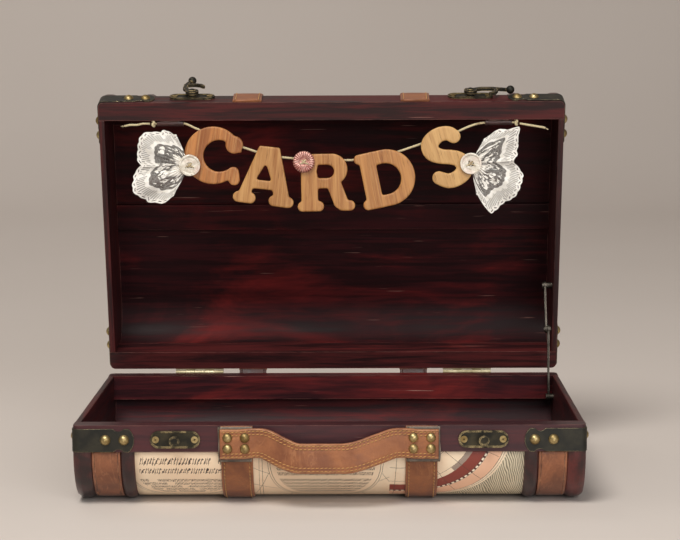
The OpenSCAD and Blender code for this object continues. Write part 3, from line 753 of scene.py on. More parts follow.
# %% Stitches
def one_stitch(p, q, out_, radius, slack=0.35, sides=6, rings=5):
    """A short thread that rises from its first hole and dives into the next."""
    across = (q - p).normalized().cross(out_)
    points = []
    for i in range(rings):
        t = i / (rings - 1)
        fat = radius * (0.35 + 0.65 * math.sin(math.pi * t) ** 0.5)
        centre = p + (q - p) * t + out_ * slack * math.sin(math.pi * t)
        points += [centre + fat * (across * math.cos(a) + out_ * math.sin(a)) for a in turns(sides)]
    return points, capped(rings, sides)


def stitches(places, offset, lift, pitch=3.4, length=2.5, radius=0.36, lean=0.35, ends=0.0):
    """A row of stitches along stations, `offset` across them and `lift` out of them."""
    total, at = walk([c + a * offset + o * lift for c, a, o in places])
    parts = []
    s = ends + pitch / 2
    while s + length / 2 < total - ends:
        across, out_ = places[min(len(places) - 1, round(s / total * (len(places) - 1)))][1:]
        parts.append(one_stitch(at(s - length / 2) - across * lean / 2,
            at(s + length / 2) + across * lean / 2, out_, radius))
        s += pitch
    return parts


# %% [markdown]
# ## Effect: hide
# Vegetable-tanned leather is never one colour. Oil darkens it in clouds, bending lightens the creases,
# and a fine pebble of pores covers everything. The group gives colour, roughness and height from those
# three layers.

# %% Hide group
hide, bench, given = effect("Hide", SURFACE, Tan=WHITE, Oiled=BLACK, Crease=WHITE, Creases=0.4, Pebble=900.0)
at = given["Vector"]
clouds = bench.noise(at, 38.0, 5.0, 0.62, 0.5)
pores = bench.cells(at, given["Pebble"])
folds = bench.math("ABSOLUTE", bench.noise(at, (95, 28, 28), 5.0, 0.6, 1.6) - 0.5)
faint = bench.between(bench.noise(at, 55.0, 2.0), 0.42, 0.66)
crease = bench.between(folds, 0.03, 0.0) * faint * given["Creases"]
tone = bench.mix(bench.between(clouds, 0.32, 0.68), given["Oiled"], given["Tan"])
tone = bench.mix(bench.between(pores, 0.3, 0.75) * 0.2, tone, given["Oiled"])
bench.results(Color=bench.mix(crease, tone, given["Crease"]), Height=pores * 0.35 - crease,
    Roughness=bench.between(clouds, 0.3, 0.7, 0.46, 0.62))
print("group:", hide.name)


# %% Leather finishes
def leather(name, tan, oiled, pale, creases=0.4, pebble=900.0, raw=None):
    def look(bench):
        place = bench.place()
        skin = bench.group(hide, Vector=place, Tan=paint(*tan), Oiled=paint(*oiled), Crease=paint(*pale),
            Creases=creases, Pebble=pebble)
        worn = bench.group(wear, Vector=place, Width=0.0012, Breakup=120.0, Amount=0.85)["Mask"]
        return bench.mix(worn, skin["Color"], paint(*(raw or pale))), skin["Roughness"], skin["Height"]

    return material(name, look, 0.18, Sheen_Weight=0.08, Sheen_Roughness=0.5)


band_hide = leather("handle_hide", (156, 98, 58), (118, 68, 40), (184, 130, 86), 0.3)
strap_hide = leather("strap_hide", (150, 92, 52), (110, 62, 36), (180, 124, 80), 0.25, raw=(92, 56, 38))
patch_hide = leather("patch_hide", (146, 90, 58), (106, 62, 40), (172, 116, 80), 0.45, 480.0)
# The dark hide is real dark leather on the cord sleeves and painted shade on the strap loops over the hinge.
dark_hide_and_painted_shade = leather("dark_hide_and_painted_shade", (66, 30, 24), (40, 20, 18), (104, 68, 54))
raw_hide = leather("raw_hide", (104, 90, 76), (62, 52, 44), (156, 140, 120), 0.5)


def thread_look(*tone):
    def look(bench):
        fuzz = bench.noise(bench.place(), 2600.0)
        dirt = bench.between(bench.noise(bench.place(), 160.0), 0.5, 0.75, 0.0, 0.6)
        bright = paint(*tone)
        colour = bench.mix(bench.between(fuzz, 0.35, 0.7), [c * 0.62 for c in bright[:3]] + [1], bright)
        return bench.mix(dirt, colour, paint(120, 82, 50)), 0.75, fuzz

    return look


gold_thread = material("gold_thread", thread_look(206, 150, 84), 0.08, Sheen_Weight=0.2)
hemp = material("hemp_twine", thread_look(222, 204, 160), 0.14, Sheen_Weight=0.25)
give(hemp, "hemp_cord", "hemp_knots_and_tails")

# %% [markdown]
# ## The vertical straps
# Each half has two straps that run all the way round, thicker where they lie on the rails and pulled
# tight round the bend. They are swept strips with a row of gold stitches near each edge. The stitches
# are separate little threads, because a painted stitch has no shadow.

# %% Straps
strap_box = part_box("base_strap_right")
strap_x = (strap_box[0].x + strap_box[1].x) / 2 / MM
strap_w = (strap_box[1].x - strap_box[0].x) / MM
STRAP_T = 2.0
PAPER_IN = 2.1
SEAM = strap_w / 2 - 2.6
SIDES = ((-1, "left"), (1, "right"))
RIGHT = Vector((1, 0, 0))


def strap_inset(s):
    return PAPER_IN * ease((min(s, ALL_ROUND - s) - 0.5) / 5)


rise = rim_z - bend_r
for half_name, place in HALVES.items():
    for side, side_name in SIDES:
        run = stations(-rise + 0.4, ALL_ROUND + rise - 0.2, strap_inset, side * strap_x, 1.7)
        name = f"strap_{half_name}_{side_name}"
        band = strip(run, strap_w, STRAP_T - 0.15, (-SEAM, SEAM), 0.12, 0.3, 7 * side + len(half_name))
        made = make(name, *band, place, half_name, "tan_leather")
        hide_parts(f"{half_name}_strap_{side_name}")
        give(strap_hide, name)
        sewn = [part for row in (-SEAM, SEAM)
            for part in stitches(run, row, STRAP_T - 0.1, radius=0.42, ends=2)]
        thread = make(name + "_stitching", *joined(sewn), place, half_name, "tan_leather")
        give(gold_thread, thread.name)
print("strap width:", round(strap_w, 1), "stitches in one strap:", len(sewn))

# %% [markdown]
# ## Straps over the hinge
# Behind the case the lid's straps and the base's straps meet in a short loop over the hinge line. The
# loop has to bend as the lid turns, so it is one strip that follows the base at one end and the lid at
# the other, and turns smoothly between them. Its dark colour is painted shade: the loop lies in shade
# behind the case.

# %% Strap bends
strap_back = half_d + 0.2
lid_low = TO_BASE.inverted() @ TO_LID @ Vector((0, strap_back, rim_z - 0.4))
for side, side_name in SIDES:
    x = side * strap_x
    start = Vector((x, strap_back, rim_z - 0.6))
    end = Vector((x, lid_low.y, lid_low.z))
    middle = Vector((x, half_d + 1.15, rim_z + 1.3))
    loop = [start.lerp(middle, t / 6).lerp(middle.lerp(end, t / 6), t / 6) for t in range(7)]
    aheads = [step.normalized() for step in aims(loop)]
    places = [(p, RIGHT, Vector((0, ahead.z, -ahead.y))) for p, ahead in zip(loop, aheads)]
    made = make(f"strap_bend_{side_name}", *strip(places, strap_w - 1, 1.4, (), 0.05, 0.1, 3), TO_BASE,
        None, "tan_leather")
    # Painted shade: the loop is the straps' tan leather, coloured with the dark hide because it lies in shade
    # behind the case.
    give(dark_hide_and_painted_shade, made.name)
    if side < 0:
        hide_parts("strap_bridges")
    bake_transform(made)

# %% [markdown]
# ## Leather side patches
# Between the end mouldings and the ribs a band of creased leather is glued round each half. It is only
# about a millimetre thick, so it is a thin strip whose face swells and puckers a little.

# %% Patches
patch_x1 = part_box("base_patches")[1].x / MM
PATCH_W = 22.4
PATCH_T = 1.2
for half_name, place in HALVES.items():
    parts = []
    for side, _ in SIDES:
        run = stations(0.2, ALL_ROUND - 0.2, lambda s: 2.35, side * (patch_x1 - PATCH_W / 2), 2.2)
        parts.append(strip(run, PATCH_W - 0.2, PATCH_T - 0.1, (), 0.1, 0.0, 11 * side, puff=0.5))
    made = make(f"side_patches_{half_name}", *joined(parts), place, half_name, "creased_leather")
    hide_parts(f"{half_name}_patches")
    give(patch_hide, made.name)
print("patch outer edge:", round(patch_x1, 1))

# %% [markdown]
# ## The handle
# The handle is a folded leather band with two rows of stitches along each edge. Four domed tacks hold
# each end flat on the strap; between them the band swings out and sags. Its centre line is the one
# that the CAD band has: a hump beside each anchor and an easy curve between.

# %% Handle line
handle_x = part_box("handle_band")[1].x / MM
HANDLE_W = 23.6
HANDLE_T = 3.4
SAG = 10.0
BOW = 8.0


def band_at(x):
    reach = 32 if x < 0 else 44
    x = abs(x)
    hump = ease((70 - x) / 12) * ease((x - 40) / 12)
    z = rim_z - 2.6 - HANDLE_W / 2 - SAG * ease((54 - x) / reach) + hump
    return Vector((0, -half_d - STRAP_T - 0.1 - BOW * ease((60 - x) / 42), z))


def band_station(x):
    ahead = (RIGHT * 0.4 + band_at(x + 0.2) - band_at(x - 0.2)).normalized()
    up = Vector((0, 0.10 * ease((60 - abs(x)) / 30), 1))
    up = (up - ahead * up.dot(ahead)).normalized()
    out_ = ahead.cross(up)
    return Vector((x, 0, 0)) + band_at(x), up, -out_ if out_.y > 0 else out_


# %% Handle band and stitching
band = [band_station(-handle_x + 2 * handle_x * i / 110) for i in range(111)]
band_rows = [side * (HANDLE_W / 2 - from_edge) for from_edge in (2.1, 4.6) for side in (-1, 1)]
band_strip = strip(band, HANDLE_W, HANDLE_T - 0.3, band_rows, 0.25, 0.35, 21, 0.35, 34, 0.6)
handle = make("handle_band_sewn", *band_strip, TO_BASE, "base", "tan_leather")
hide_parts("handle_band")
give(band_hide, handle.name)
sewn = [part for row in band_rows
    for part in stitches(band, row, HANDLE_T - 0.2, 3.3, 2.7, 0.42, 0.5, ends=1.5)]
thread = make("handle_stitching", *joined(sewn), TO_BASE, "base", "tan_leather")
give(gold_thread, thread.name)
print("handle half length:", round(handle_x, 1), "stitches:", len(sewn))

# %% [markdown]
# ## Raw leather under the anchors
# Under each end of the handle lies a scrap of raw, grey leather. It is a little wider than the band, so
# its worn edge shows above the tacks, at the outer side and as a curled lip below them.

# %% Anchor linings
LINING_X, LINING_W, LINING_LOW, LINING_TALL = 73.2, 26.2, 28.2, 27.4
parts = []
for side, _ in SIDES:
    lining = []
    for i in range(15):
        z = rim_z - LINING_LOW + LINING_TALL * i / 14
        curl = 1.7 * ease(1 - i / 2.4)
        lining.append((Vector((side * LINING_X, -half_d - STRAP_T + 0.35 - curl, z)), RIGHT,
            Vector((0, -1, 0))))
    parts.append(strip(lining, LINING_W, 0.55, (), 0.05, 1.2, 5 * side, columns=20, puff=0.5))
lining = make("anchor_linings", *joined(parts), TO_BASE, "base", "dark_leather")
give(raw_hide, lining.name)

# %% [markdown]
# ## Sleeves for the cord
# Two short rolls of dark leather under the lid's front rail carry the cord. Each is a tube with an
# uneven rim and a flat tongue that is glued to the rail; a modelled tube with noise in its wall looks
# more like leather than a turned one.


# %% Cord sleeves
def sleeve(x0, x1, radius, bore, seed, sides=28, rings=26):
    """A tube with an outer and an inner wall, dented outside and ragged at its two ends."""
    points = []
    for outer in (True, False):
        for i in range(rings + 1):
            t = i / rings
            x = x0 + (x1 - x0) * (t if outer else 1 - t)
            for a in turns(sides):
                dent = 0.28 * noise.noise(Vector((x * 0.35, math.cos(a) * 1.3, math.sin(a) * 1.3 + seed)))
                rag = 0.45 * noise.noise(Vector((a, seed, t * 0.1))) if t in (0, 1) else 0
                r = radius + dent if outer else bore
                points.append(Vector((x + rag, r * math.cos(a), r * math.sin(a))))
    return points, bands(2 * (rings + 1), sides, looped=True)


SLEEVE_LONG = 23
sleeve_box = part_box("cord_sleeves")
left_end, right_end = sleeve_box[0].x / MM, sleeve_box[1].x / MM
TO_ROLL = Matrix.Translation(garland_at) @ Matrix.Rotation(-open_angle, 4, "X") @ Matrix.Scale(MM, 4)
parts = []
for x0, x1 in ((left_end, left_end + SLEEVE_LONG), (right_end - SLEEVE_LONG, right_end)):
    parts.append(sleeve(x0, x1, 2.25, 1.65, x0))
    tongue = [(Vector((x0 + (x1 - x0) * (0.12 + 0.76 * i / 16), -2.95, 0)), Vector((0, 0, 1)),
        Vector((0, 1, 0))) for i in range(17)]
    parts.append(strip(tongue, 4.2, 0.9, (), 0.1, 0.4, 4, columns=10))
sleeves = make("cord_sleeve_rolls", *joined(parts), TO_ROLL, "lid", "dark_leather")
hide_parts("cord_sleeves")
give(dark_hide_and_painted_shade, sleeves.name)

# %% [markdown]
# ## Effect: printed chart
# The case is papered with an old sea chart. A printed chart is only lines and bands, so it can be drawn
# by arithmetic: a ring is where the distance to a centre is near a radius, a ray is where an angle is
# near a step. The print here has rings, rays, a dashed scale border, ruled rows and engraved hatching,
# and no letters at all. Its coordinates are millimetres: across the case, and round its girth.

# %% Chart drawing tools
chart, bench, given = effect("Printed chart", ("Color", "Height"))
at = given["Vector"]
across, round_case, _ = bench.split(at)
wobble = (bench.noise(at, 0.35, 2.0) - 0.5) * 0.7
across = across + wobble
below = bench.math("MINIMUM", round_case, ALL_ROUND - round_case) + wobble


def near(value, target, half_width):
    return value.bench.math("ABSOLUTE", value - target) < half_width


def within(value, low, high):
    return (value > low) & (value < high)


def any_of(*masks):
    made = masks[0]
    for mask in masks[1:]:
        made = made | mask
    return made


def polar(cx, cy, tall=1.0):
    """Distance and angle from a centre; `tall` makes an oval of the distance."""
    dx = across - cx
    dy = (below - cy) / tall
    return bench.math("SQRT", dx * dx + dy * dy), bench.math("ARCTAN2", dy, dx)


def rays(far, angle, step_deg, half_width):
    step = math.radians(step_deg)
    return bench.math("ABSOLUTE", bench.math("FRACT", angle / step) - 0.5) * step * far < half_width


# %% Chart: paper and the banded arc
FRONT_DEEP = 78
SHEET_JOIN = 47
front = below < FRONT_DEEP
right = front & (across > SHEET_JOIN)
left = front & (across < SHEET_JOIN)
stain = bench.between(bench.noise(at, 0.02, 5.0, 0.6), 0.35, 0.7)
tone = bench.mix(stain, paint(236, 218, 190), paint(226, 198, 166))
arc_far, arc_angle = polar(55, -32)
dashes = bench.math("FRACT", arc_angle * 18) > 0.45
for low, high, ink, where in ((77, 86.5, (226, 180, 148), right), (65.5, 74.5, (128, 54, 42), right),
        (61.5, 65.5, (150, 132, 118), right & within(arc_angle, 0.2, 0.86)),
        (74.5, 76.8, (84, 44, 36), right), (74.9, 76.5, (236, 222, 198), right & dashes)):
    tone = bench.mix(where & within(arc_far, low, high), tone, paint(*ink))
arc_lines = any_of(near(arc_far, 33, 0.17), near(arc_far, 47, 0.17), near(arc_far, 86.7, 0.2),
    near(arc_far, 88.4, 0.14), near(arc_far, 61.3, 0.14),
    rays(arc_far, arc_angle, 17, 0.16) & within(arc_far, 12, 86))

# %% Chart: engraved hatching beyond the arc
waves = bench.node("ShaderNodeTexWave", {"Vector": bench.stretch(at, (1, 0.5, 1), (0, 0, 0.45)),
    "Scale": 0.2, "Distortion": 14.0, "Detail": 3.0, "Detail Scale": 0.35}, bands_direction="X")
swirl = bench.noise(at, (0.1, 0.03, 1), 3.0, 0.5, 0.8, turn=(0, 0, 0.3))
beyond = right & (arc_far > 90)
etched = beyond & (bench.wire(waves, "Fac") + swirl > 1.02)
tone = bench.mix(beyond, tone, paint(214, 200, 172))
tone = bench.mix(etched * 0.8, tone, paint(92, 86, 68))

# %% [markdown]
# ## Rows of pen work
# Old charts carry cartouches filled with close pen work. Here a row is a band of short slanted strokes
# of uneven weight with gaps between groups of them. It reads as busy ink from a step away, and close up
# it is plainly ornament.


# %% Chart: oval panels with pen work
def pen_row(top, tall, pitch, weight, gaps, slant=0.3):
    """Slanted strokes in a band `tall` mm high whose middle is `top` mm below the rail."""
    jitter = bench.noise(at, (0.55 / pitch, 0.02, 1), 2.0) * 3.1
    stroke = bench.math("FRACT", (across + below * slant) / pitch + jitter)
    ends = bench.noise(at, (1.1 / pitch, 0.02, 1)) * tall
    offset = bench.math("ABSOLUTE", below - top)
    cross = near(offset, tall * 0.3, tall * 0.06) & (stroke < 0.6)
    groups = bench.noise(at, (gaps, 0.001, 1), 2.0) > 0.4
    return ((stroke < weight) | cross) & (offset < ends + tall * 0.04) & groups


OVAL = 43.5
mid_far = polar(-3, 8, 1.12)[0]
side_far = polar(-112, 14, 0.9)[0]
rows = any_of(*(pen_row(27.5 + 4.2 * k, 2.8, 1.15, 0.42, 0.09 + 0.01 * k) for k in range(5)))
headings = pen_row(8.5, 5.4, 2.3, 0.33, 0.06) | pen_row(17.5, 4.6, 2.0, 0.33, 0.07)
small = pen_row(15.5, 2.8, 1.15, 0.42, 0.08) | pen_row(20.5, 2.8, 1.15, 0.42, 0.1)
panels = [headings & (side_far < 37), small & (mid_far < 39)]
for far in (mid_far, side_far):
    tone = bench.mix((left & (far < OVAL)) * 0.5, tone, paint(234, 206, 174))
    panels += [near(far, OVAL, 0.2), near(far, OVAL + 1.7, 0.16), (far < OVAL - 4) & rows]

# %% Chart: graticule and the large rings of the broad faces
grid_far, grid_angle = polar(-14, -70)
grid = any_of(rays(grid_far, grid_angle, 13, 0.16), near(across, -52.5, 0.18), near(across, -55, 0.14),
    near(grid_far, 96, 0.15), near(grid_far, 112, 0.15)) & (mid_far > 45.4) & (side_far > 45.4)
broad = below > FRONT_DEEP
coast = bench.between(bench.noise(at, 0.045, 6.0, 0.6), 0.5, 0.53) * 0.5
globes = []
for cx in (-72, 74):
    far, angle = polar(cx, ALL_ROUND / 2)
    globe = far < 66
    globes += [near(far, 66, 0.35), near(far, 69, 0.2), near(far, 22, 0.15), near(far, 44, 0.15),
        rays(far, angle, 15, 0.15) & globe]
    tone = bench.mix(broad & globe & coast, tone, paint(196, 158, 118))
borders = any_of(near(below, FRONT_DEEP, 0.35), near(below, 80.2, 0.15), near(below, 75.8, 0.15))
lines = any_of(borders, right & arc_lines, left & any_of(grid, *panels), broad & any_of(*globes))
faded = bench.between(bench.noise(at, 0.5), 0.25, 0.5, 0.6, 1.0)
tone = bench.mix(lines * faded, tone, paint(62, 48, 40))
foxing = bench.between(bench.noise(at, 0.16, 4.0, 0.7), 0.62, 0.8, 0.0, 0.35)
bench.results(Color=bench.mix(foxing, tone, paint(186, 142, 100)), Height=bench.noise(at, 3.0))
print("group:", chart.name, "nodes:", len(chart.nodes))

# %% [markdown]
# ## The printed paper
# The paper itself is a thin sheet glued round each half between the ribs. It is built with the girth
# function, and each corner carries its own place on the chart, so the print runs round the bend without
# stretching.


# %% Paper sheets
def chart_look(bench):
    printed = bench.group(chart, Vector=bench.flat_place())
    return printed["Color"], 0.55, printed["Height"]


printed_paper = material("printed_paper", chart_look, 0.05, Coat_Weight=0.12, Coat_Roughness=0.4)
paper_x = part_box("base_print_panel")[1].x / MM
COLUMNS = 40
spread = [paper_x * (2 * k / COLUMNS - 1) for k in range(COLUMNS + 1)]
wide = len(spread)
for half_name, place in HALVES.items():
    face = stations(0.1, ALL_ROUND - 0.1, lambda s: PAPER_IN, 0)
    under = stations(0.1, ALL_ROUND - 0.1, lambda s: 2.38, 0)
    long = len(face)
    points = [c + a * x for layer in (face, under) for c, a, o in layer for x in spread]
    faces = bands(long, wide, closed=False)
    faces += [[v + wide * long for v in reversed(f)] for f in faces]
    rim = list(range(wide)) + [wide * i + COLUMNS for i in range(1, long)]
    rim += [wide * (long - 1) + k for k in range(COLUMNS - 1, -1, -1)]
    rim += [wide * i for i in range(long - 2, 0, -1)]
    faces += [[a, b, b + wide * long, a + wide * long] for a, b in zip(rim, rim[1:] + rim[:1])]
    sheet = make(f"chart_paper_{half_name}", points, faces, place, half_name, "printed_paper")
    mark_uv(sheet, "chart", 2 * [(x * MM, ALL_ROUND * i / (long - 1) * MM) for i in range(long)
        for x in spread])
    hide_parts(f"{half_name}_print_panel")
    give(printed_paper, sheet.name)
print("paper half width:", round(paper_x, 1), "length round the case:", round(ALL_ROUND))

# %% [markdown]
# ## Effect: lace
# Cotton lace is holes held together by thread. Seen from its scalloped edge inwards it has a dense
# border, a ribbed band, a plain tape, an open net with flowers and, at the gather, dense pleats. The
# group turns those zones into an alpha mask; its coordinates are millimetres along and across the lace.

# %% Lace group
lace_weave, bench, given = effect("Lace weave", ("Color", "Alpha", "Height"), Depth=40.0)
at = given["Vector"]
along, depth, _ = bench.split(at)
wave_depth = depth + bench.math("ABSOLUTE", bench.math("SINE", along * 0.55)) * 1.1
picots = within(wave_depth, 2.4, 3.4) & (bench.math("FRACT", along / 3.6) > 0.45)
ribs = (bench.math("FRACT", along / 1.6) < 0.46) & within(wave_depth, 4.6, 12.2)
ribs = ribs & (bench.noise(at, (0.11, 0.05, 1), 2.0) > 0.4)
net = depth > 15.2
mesh_holes = bench.between(bench.cells(at, 1.1, "DISTANCE_TO_EDGE"), 0.08, 0.2, 0.3, 0.06)
petals = within(bench.cells(at, 0.3, spread=0.8), 0.1, 0.56)
bloom = (bench.cells(at, 0.085, spread=0.7) < 0.6) & petals & (depth > 18.5)
gathered = bench.between(depth, given["Depth"] - 10, given["Depth"] - 4)
solid = 0.93 - ribs * 0.6 - picots * 0.65
alpha = bench.math("ADD", solid * (1 - net), any_of(mesh_holes, bloom, gathered) * net, clamp=True)
shade = bench.between(bench.noise(at, 0.25), 0.3, 0.7)
bench.results(Color=bench.mix(shade, paint(226, 221, 210), paint(246, 243, 236)), Alpha=alpha,
    Height=alpha + bench.noise(at, 4.0, 2.0) * 0.4)
print("group:", lace_weave.name)


# %% Lace finish
def lace_wires(bench):
    return bench.group(lace_weave, Vector=bench.flat_place(), Depth=40.0)


def lace_look(bench):
    woven = lace_wires(bench)
    return woven["Color"], 0.8, woven["Height"]


lace = material("cotton_lace", lace_look, 0.12, lambda bench: lace_wires(bench)["Alpha"], Sheen_Weight=0.3)

# %% [markdown]
# ## The lace bows
# Each bow is one length of lace trim pinched under a button, so it opens into two fans. A fan is drawn
# in polar form from the pinch: the cloth ripples more the further out it is, pleats crowd together near
# the pinch, and the outer edge runs in scallops. A cloth simulation would need a long settling time for
# a pinch this tight, so the ripples are modelled.

# %% Fans
LACE_PITCH = 0.55
CLOTH_REACH = 42


def fan(centre, edge_line, ripples, phase, lift, curl, rows=50, columns=96):
    """A lobe of cloth; `edge_line` lists the angle and the reach of its outer edge."""
    points, uvs = [], []
    first, last = edge_line[0][0], edge_line[-1][0]
    for k in range(columns + 1):
        t = k / columns
        angle = first + (last - first) * t
        i = max(n for n in range(len(edge_line) - 1) if edge_line[n][0] <= angle or n == 0)
        (a0, r0), (a1, r1) = edge_line[i], edge_line[i + 1]
        reach = r0 + (r1 - r0) * ease((angle - a0) / (a1 - a0))
        along = math.radians(angle) * CLOTH_REACH
        reach += 0.9 * abs(math.sin(along * LACE_PITCH))
        for row in range(rows + 1):
            b = row / rows
            a = 2 * t - 1
            z = lift + b * 1.9 * math.sin(ripples * math.pi * a + phase) + curl * b * b * a
            z += 0.55 * math.sin(9 * math.pi * a + phase) * math.exp(-((b - 0.3) / 0.2) ** 2)
            z += 2.2 * b * noise.noise(Vector((a * 1.9, b * 1.8, phase)))
            turn = math.radians(angle + 2.5 * b * noise.noise(Vector((a * 2.2, b * 2, phase + 5))))
            points.append(centre + Vector((reach * b * math.cos(turn), reach * b * math.sin(turn), z)))
            uvs.append((along * MM, reach * (1 - b) * MM))
    return points, bands(columns + 1, rows + 1, closed=False), uvs


button_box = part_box("pearl_buttons")
BUTTON_R = 9.2
LACE_Z = 7.0
bows = {
    "lace_bow_left": (button_box[0].x / MM + BUTTON_R, 256.5, (
        (((112, 28), (130, 37), (149, 48), (172, 45), (181, 41)), 1.5, 0.4, 0.8, 1.4),
        (((176, 40), (191, 49), (205, 53), (220, 48), (232, 41), (242, 30)), 1.8, 2.2, -0.4, -1.6))),
    "lace_bow_right": (button_box[1].x / MM - BUTTON_R, 257.2, (
        (((3, 36), (12, 40), (26, 44), (37, 51), (44, 41), (62, 24)), 1.4, 1.1, 0.9, -1.2),
        (((-80, 27), (-66, 46), (-50, 44), (-36, 47), (-14, 46), (4, 36)), 1.9, 0.2, -0.4, 1.6))),
}
pinches = {name: Vector((x, z - garland_at.z / MM, 0)) for name, (x, z, _) in bows.items()}
for name, (x, _, fans) in bows.items():
    lobes = [fan(pinches[name] + Vector((0, 0, LACE_Z)), *lobe) for lobe in fans]
    bow = make(name, *joined([lobe[:2] for lobe in lobes]), TO_GARLAND, "garland", "lace")
    mark_uv(bow, "lace", lobes[0][2] + lobes[1][2])
    give(lace, name)
    area = sum(p.area for p in bow.data.polygons)
    print(name, "area in cm2:", round(area * 1e4, 1))
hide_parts("lace_bows")

# %% [markdown]
# ## Buttons
# Two pearl buttons pin the lace and one copper-pink button sits between two letters. The pearl ones
# keep their CAD shape and get a milky, faintly iridescent finish. The pink one is built here: a dish
# with fine grooves running out to a scalloped rim. All are sewn on with a few turns of hemp.


# %% Pearl
def pearl_look(bench):
    swirl = bench.noise(bench.place(), 130.0, 4.0, 0.6, 2.0)
    tint = bench.noise(bench.place(), 70.0, 2.0, 0.5, 1.0)
    tone = bench.mix(bench.between(swirl, 0.35, 0.7), paint(196, 186, 168), paint(240, 234, 220))
    tone = bench.mix(bench.between(tint, 0.45, 0.7, 0.0, 0.5), tone, paint(222, 196, 184))
    return tone, bench.between(swirl, 0.3, 0.7, 0.16, 0.34), swirl


pearl = material("mother_of_pearl", pearl_look, 0.06, Coat_Weight=0.7, Coat_Roughness=0.08)
give(pearl, "pearl_buttons")
soften(0.35, "pearl_buttons")


# %% Rose copper
GROOVES = 26


def rose_look(bench):
    worn = bench.noise(bench.place(), 380.0, 4.0, 0.6)
    clouds = bench.noise(bench.place(), 140.0)
    round_it, out_to_rim, _ = bench.split(bench.place("UV"))
    ridge = bench.math("ABSOLUTE", bench.math("COSINE", round_it * (GROOVES * math.pi)))
    groove = bench.between(ridge, 0.75, 0.3) * bench.between(out_to_rim, 0.3, 0.42)
    tone = bench.mix(bench.between(clouds, 0.35, 0.65), paint(176, 108, 96), paint(214, 160, 144))
    tone = bench.mix(bench.between(worn, 0.45, 0.75, 0.0, 0.6), tone, paint(240, 212, 200))
    return bench.mix(groove, tone, paint(124, 60, 54)), 0.3, worn


rose = material("rose_copper", rose_look, 0.05, Metallic=0.35, Coat_Weight=0.4, Coat_Roughness=0.15)

# %% Rose button
rose_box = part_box("rose_button")
rose_x = (rose_box[0].x + rose_box[1].x) / 2 / MM
rose_z = ((rose_box[0].z + rose_box[1].z) / 2 - garland_at.z) / MM
rose_at = Vector((rose_x, rose_z, (garland_at.y - rose_box[1].y) / MM))
ROSE_R, ROSE_H = 9.4, 2.7
rings, spokes = 18, GROOVES * 8
points = []
for b in (i / rings for i in range(rings + 1)):
    for a in turns(spokes):
        ridge = abs(math.cos(GROOVES / 2 * a))
        r = ROSE_R * b * (1 - 0.03 * b ** 6 * (1 - ridge))
        dish = 1.2 + 1.2 * math.sin(math.pi * min(1.0, b * 1.1) * 0.5) - 1.3 * b ** 10
        h = dish + 0.32 * ridge * ease((b - 0.3) / 0.15) * (1 - b ** 12)
        points.append(Vector((r * math.cos(a), r * math.sin(a), min(h, ROSE_H))))
points += [Vector((p.x, p.y, 0)) for p in points[spokes * rings:]]
faces = bands(rings + 2, spokes) + [[spokes * (rings + 1) + k for k in range(spokes)]]
marks = [(math.atan2(p.y, p.x) / 2 / math.pi, p.to_2d().length / ROSE_R) for p in points]
rose_button = make("rose_button_grooved", [rose_at + p for p in points], faces, TO_GARLAND, "garland",
    "rose_copper")
mark_uv(rose_button, "spokes", marks)
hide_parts("rose_button")
give(rose, rose_button.name)


# %% Button threads
def button_thread(centre, reach, seed):
    """Crossed turns of twine through the holes, with a knot and two short ends."""
    random.seed(seed)
    parts = []
    for slant in (38, 52, -40, 46):
        a = math.radians(slant + random.uniform(-5, 5))
        d = Vector((math.cos(a), math.sin(a), 0)) * reach
        parts.append(one_stitch(centre - d, centre + d, Vector((0, 0, 1)), 0.5, 0.8))
    parts.append(knot(centre + Vector((0.4, 0.3, 0.7)), 0.42, 0.42))
    for a in (math.radians(-20), math.radians(200)):
        d = Vector((math.cos(a), math.sin(a), 0.12))
        end = [centre + d * t * 4.2 + Vector((0, -0.5 * t * t, 0.5)) for t in (0, 0.3, 0.6, 1)]
        parts.append(tube_along(end, 0.4, 7))
    return parts


button_face = Vector((0, 0, (garland_at.y - button_box[0].y) / MM - 1.1))
sewn = button_thread(pinches["lace_bow_left"] + button_face, 2.6, 3)
sewn += button_thread(pinches["lace_bow_right"] + button_face, 2.6, 4)
sewn += button_thread(rose_at + Vector((0, 0, 1.4)), 3.4, 6)
threads = make("button_threads", *joined(sewn), TO_GARLAND, "garland", "hemp")
give(hemp, threads.name)

# %% [markdown]
# ## Floor and backdrop
# A pale sweep stands behind and under the case: a floor that rises in a wide curve, so no horizon line
# shows behind the case.

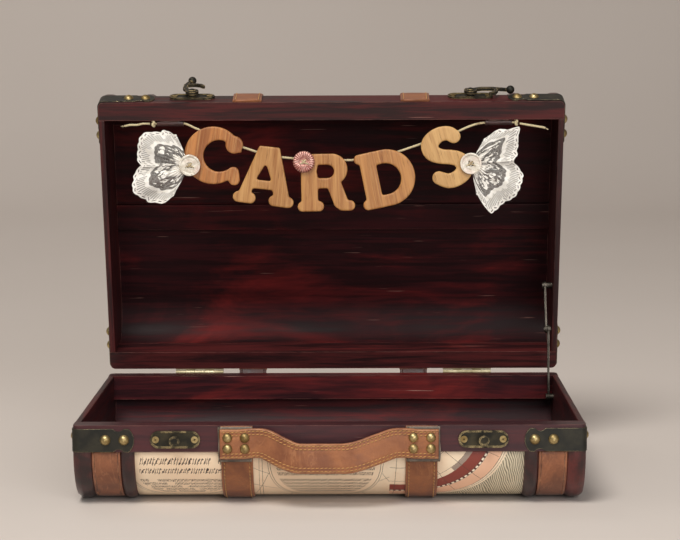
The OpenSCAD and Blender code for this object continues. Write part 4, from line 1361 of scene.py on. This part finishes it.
# %% Studio sweep
FLOOR_HALF, FRONT_Y, BACK_Y, SWEEP_R, WALL_H = 7.0, -6.0, 3.6, 1.2, 6.0
profile = [(FRONT_Y, 0.0), (BACK_Y - SWEEP_R, 0.0)]
profile += [(BACK_Y - SWEEP_R + SWEEP_R * math.sin(a), SWEEP_R - SWEEP_R * math.cos(a))
    for a in turns(64)[1:17]]
profile.append((BACK_Y, WALL_H))
mesh = bpy.data.meshes.new("sweep")
mesh.from_pydata([(x, y, z) for y, z in profile for x in (-FLOOR_HALF, FLOOR_HALF)], [],
    [[2 * i, 2 * i + 1, 2 * i + 3, 2 * i + 2] for i in range(len(profile) - 1)])
mesh.polygons.foreach_set("use_smooth", [True] * len(mesh.polygons))
sweep = bpy.data.objects.new("sweep", mesh)
bpy.context.scene.collection.objects.link(sweep)


def wall_look(bench):
    haze = bench.noise(bench.place(), 1.2, 2.0)
    return bench.mix(haze, paint(204, 194, 185), paint(211, 202, 194)), 0.9, None


sweep.data.materials.append(material("backdrop", wall_look))

# %% [markdown]
# ## Light
# The light is one large soft source above and left of the camera, a weak fill from the right and a
# third lamp that washes the wall, in a quiet world. The open lid shades the inside of the case, which
# should stay dark.


# %% Lights
def soft_light(name, place, aim_at, size, power, colour):
    lamp = bpy.data.lights.new(name, "AREA")
    lamp.shape = "DISK"
    lamp.size = size
    lamp.energy = power
    lamp.color = colour
    holder = bpy.data.objects.new(name, lamp)
    holder.location = place
    holder.rotation_euler = (Vector(aim_at) - Vector(place)).to_track_quat("-Z", "Y").to_euler()
    bpy.context.scene.collection.objects.link(holder)


soft_light("key", (-0.5, -1.5, 2.3), (0, 0, 0.1), 1.2, 56, (1.0, 0.97, 0.93))
soft_light("fill", (0.9, -2.3, 0.8), (0, 0, 0.1), 1.8, 27, (0.98, 0.98, 1.0))
soft_light("wall", (-1.2, 1.6, 2.8), (-0.6, 3.6, 1.0), 1.8, 22, (1.0, 0.98, 0.96))
world = bpy.data.worlds.new("room")
bpy.context.scene.world = world
world.use_nodes = True
world.node_tree.nodes["Background"].inputs[0].default_value = paint(214, 208, 204)
world.node_tree.nodes["Background"].inputs[1].default_value = 0.35
bpy.context.scene.view_settings.view_transform = "Standard"
